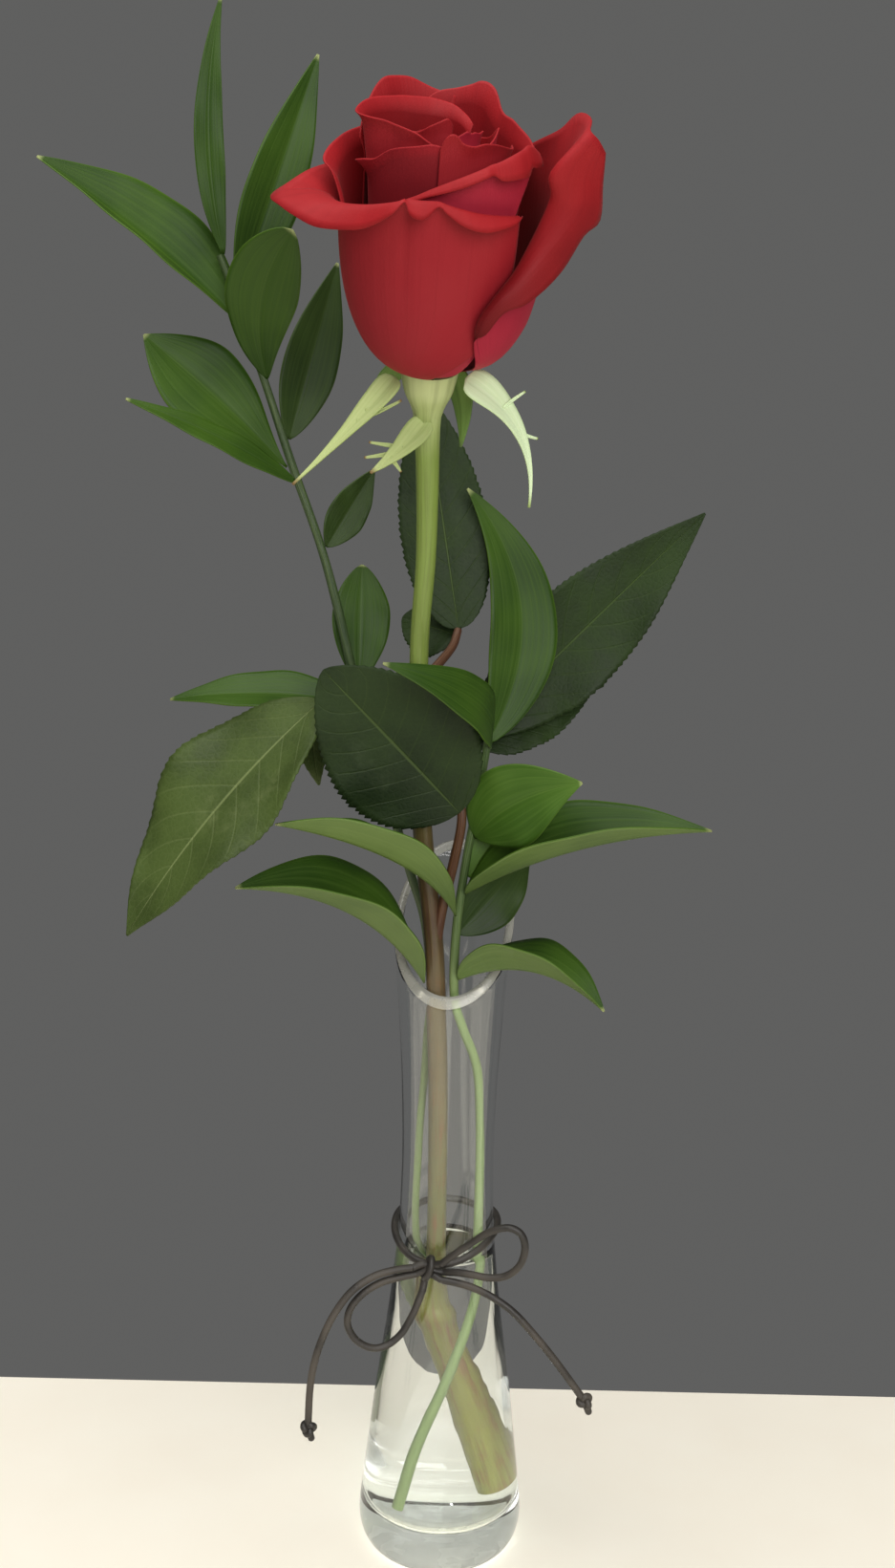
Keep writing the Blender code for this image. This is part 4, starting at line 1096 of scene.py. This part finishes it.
def green_bark(recipe, place, dark, light):
    streaks = streaked(recipe, 2.2, 3)
    colour = recipe.blend(recipe.axes(place)[2].between(0.15, 0.2), light, dark)
    colour = recipe.blend(streaks.between(0.35, 0.7) * 0.5, colour, light)
    return {"Base Color": colour, "Roughness": 0.42, "Bump": (streaks, 0.00015)}


for name, route, tone, dark, light in (
    ("ruscus_stem_left", LEFT, "dark", (42, 62, 32), (104, 122, 70)),
    ("ruscus_stem_right", RIGHT, "pale", (56, 80, 36), (122, 142, 88)),
):
    finish = surface("ruscus stem, " + tone, green_bark, dark, light)
    put(name + "_cane", tube_mesh(name, smoothed(route), finish, 1.0, 16), name)


# The ruscus leaves are stiff and smooth, a soft satin green with fine veins that run from end to end,
# with painted sheen along the veins, the middle and the margins.
# They are paler and duller underneath, and they bow and fold along the middle. Three leaves take a
# darker copy of the green, as painted shade.
def ribbed(recipe, place, deep, light, gleam):
    across, along = blade_place(recipe)
    lines = recipe.noise(recipe.point(across * 11, along * 0.8), 1, detail=3)
    cloud = recipe.noise(place, 42, detail=2)
    colour = recipe.blend(cloud.between(0.32, 0.68), deep, light)
    # The vein lines, the middle and the margins are lightened towards gleam: partly the leaf's paler
    # veins, partly painted sheen.
    colour = recipe.blend(lines.between(0.4, 0.7) * 0.22, colour, gleam)
    colour = recipe.blend(abs(across).between(0.04, 0.0) * 0.3, colour, gleam)
    colour = recipe.blend(abs(across).between(0.95, 1.0) * 0.5, colour, gleam)
    colour = recipe.blend(along.between(0.97, 1.0) * 0.7, colour, (170, 176, 120))
    roughness = lines.between(0.3, 0.7, 0.42, 0.52)
    return {"Base Color": colour, "Roughness": roughness, "Bump": (lines, 0.00007)}


leaf_green, leaf_painted_shade, leaf_fresh, leaf_pale = (
    surface("ruscus leaf" + kind, ribbed, *given, **{"Specular IOR Level": 0.22})
    for kind, *given in (
        ("", (36, 62, 12), (52, 80, 18), (80, 108, 36)),
        # A darker copy of the green: painted shade.
        (" in shade", (34, 52, 18), (48, 68, 25), (72, 92, 40)),
        (", young", (56, 88, 24), (74, 106, 34), (98, 128, 52)),
        (" underside", (80, 102, 50), (94, 116, 58), (118, 138, 78)),
    )
)
PEDICEL = 0.3


def on_route(route, height):
    """The centre, direction and radius of a stem at a height."""
    path = smoothed(route, 4)
    at = max(i for i in range(len(path) - 1) if path[i][2] <= height)
    part = (height - path[at][2]) / (path[at + 1][2] - path[at][2])
    spot = path[at] + (path[at + 1] - path[at]) * min(part, 1)
    line = Vector(path[at + 1][:3] - path[at][:3]).normalized()
    return Vector(spot[:3]), line, spot[3]


def ruscus(letter, route, height, tip, width, facing, out=None, face=leaf_green, base=None, **given):
    """A ruscus leaf from its place beside its stem to its tip."""
    if base is None:
        middle, line, radius = on_route(route, height)
        out = Vector(out) if out else Vector(tip) - middle
        base = middle + (out - out.dot(line) * line).normalized() * (radius + PEDICEL)
    node = "ruscus_leaf_" + letter
    given = {"width": width, "rows": 41, "ripple": 0.3} | given
    mesh = blade_mesh(node + "_blade", base, tip, facing, face, **given)
    put_blade(node, mesh, leaf_pale)


ruscus("tip", LEFT, 353.8, (-61, 6, 414), 6.8, (0.2, -0.9, 0.3), fold=10, hook=-3.4)
ruscus("b", LEFT, 339, (-105, 0, 376), 27, (0.15, -0.5, 0.85), (-1, -0.2, 0), fold=34, hook=2.4)
ruscus("c", LEFT, 345, (-38, 12, 402), 15, (0.5, -0.8, 0.3), fold=15)
ruscus("d", LEFT, 324, (-42, -14, 359.5), 18, (0.0, -0.9, 0.4), fold=3, hook=-5, blunt=0.66, widest=0.58)
ruscus("e", LEFT, 303, (-80.5, 4, 334.5), 22, (0.25, -0.85, 0.45), (-1, -0.2, 0), bow=2, fold=8,
       widest=0.6)
ruscus("f", LEFT, 299, (-82.5, -12, 319.5), 7, (0.1, -0.7, 0.7), (-0.3, -1, 0), bow=2, fold=10)
ruscus("g", LEFT, 309, (-33, 14, 353), 14, (0.3, -0.9, 0.2), face=leaf_painted_shade, fold=15)
ruscus("h", LEFT, 282, (-23, 12, 302), 10, (0.4, -0.9, 0.2), face=leaf_painted_shade, fold=15)
ruscus("i", LEFT, 246, (-26, 15, 277), 15, (0.2, -0.97, 0.2), (0.5, 1, 0), fold=10, blunt=0.75,
       widest=0.55)
ruscus("j", LEFT, 243, (-76, 10, 241), 13, (0.1, -0.6, 0.8), bow=3, fold=15)
ruscus("k", RIGHT, 235, (1, -4, 299), 18, (0.3, -0.9, 0.3), (0, 1, 0), fold=10, hook=12)
ruscus("l", RIGHT, 235.2, (-18, -46, 262), 13, (0.15, -0.85, 0.55), (0.2, -1, 0), bow=11)
ruscus("m", RIGHT, 211, (31, -24, 229), 21, (0.1, -0.95, 0.3), (0.7, -0.8, 0), leaf_fresh, bow=3, fold=5,
       hook=-3)
ruscus("n", RIGHT, 200, (25.5, -4, 221), 16, (-0.1, -0.9, 0.4), (0.8, 0.6, 0), leaf_fresh, bow=1, fold=15)
ruscus("o", RIGHT, 196, (64, -22, 217), 28, (0, -0.22, 1), (0.7, -0.7, 0), bow=6, fold=46, hook=3)
ruscus("p", RIGHT, 184, (20, 8, 202), 15, (0.4, -0.8, 0.4), (0.3, 1, 0), leaf_painted_shade, bow=2, fold=10)
ruscus("q", RIGHT, 172.5, (38, -34, 173), 24, (0, 0.2, 0.98), (1, -0.8, 0), bow=6.5, fold=40)
ruscus("r", RIGHT, 190, (-44, -36, 220), 22, (0.1, 0.15, 1), (-0.5, -1, 0), bow=5, fold=38, hook=-9,
       widest=0.58)
ruscus("s", RIGHT, 0, (-54, -34, 203), 29, (0.1, -0.2, 1), base=(-7.3, -9.8, 170.9), bow=8, fold=42,
       widest=0.5)


# The table is a plain pale board. The light is a broad soft lamp overhead with another one in front.
BOARD_TOP = -0.0002
board = bpy.data.meshes.new("table")
board.from_pydata(
    [(x, y, BOARD_TOP) for x, y in ((-0.7, -0.75), (0.7, -0.75), (0.7, 0.077), (-0.7, 0.077))],
    [], [(0, 1, 2, 3)],
)


def board_paint(recipe, place):
    mottle = recipe.noise(place, 30, detail=3)
    return {
        "Base Color": recipe.blend(mottle, (246, 238, 222), (252, 246, 232)), "Roughness": 0.6,
        "Emission Color": recipe.blend(mottle, (255, 250, 236), (255, 252, 240)),
    }


board.materials.append(surface("pale board", board_paint, **{"Emission Strength": 0.09}))
placed("table", board)
FLOWER_MIDDLE = Vector((0, 0, 0.25))
STUDIO_GREY = (0.116, 0.116, 0.114, 1)


def lamp(name, place, size, watts, colour):
    """A soft lamp that shines on the middle of the flower."""
    light = bpy.data.lights.new(name, "AREA")
    light.shape = "RECTANGLE"
    light.size, light.size_y = size
    light.energy = watts
    light.color = colour
    made = placed(name, light)
    made.location = place
    made.rotation_euler = (FLOWER_MIDDLE - Vector(place)).to_track_quat("-Z", "Y").to_euler()


lamp("overhead lamp", (-0.2, -0.3, 1.25), (0.9, 0.7), 12, (1, 0.98, 0.94))
lamp("front lamp", (0.35, -1.2, 0.7), (0.9, 0.8), 13, (1, 0.99, 0.97))
world = bpy.data.worlds.new("studio")
bpy.context.scene.world = world
world.use_nodes = True
world.node_tree.nodes["Background"].inputs["Color"].default_value = STUDIO_GREY
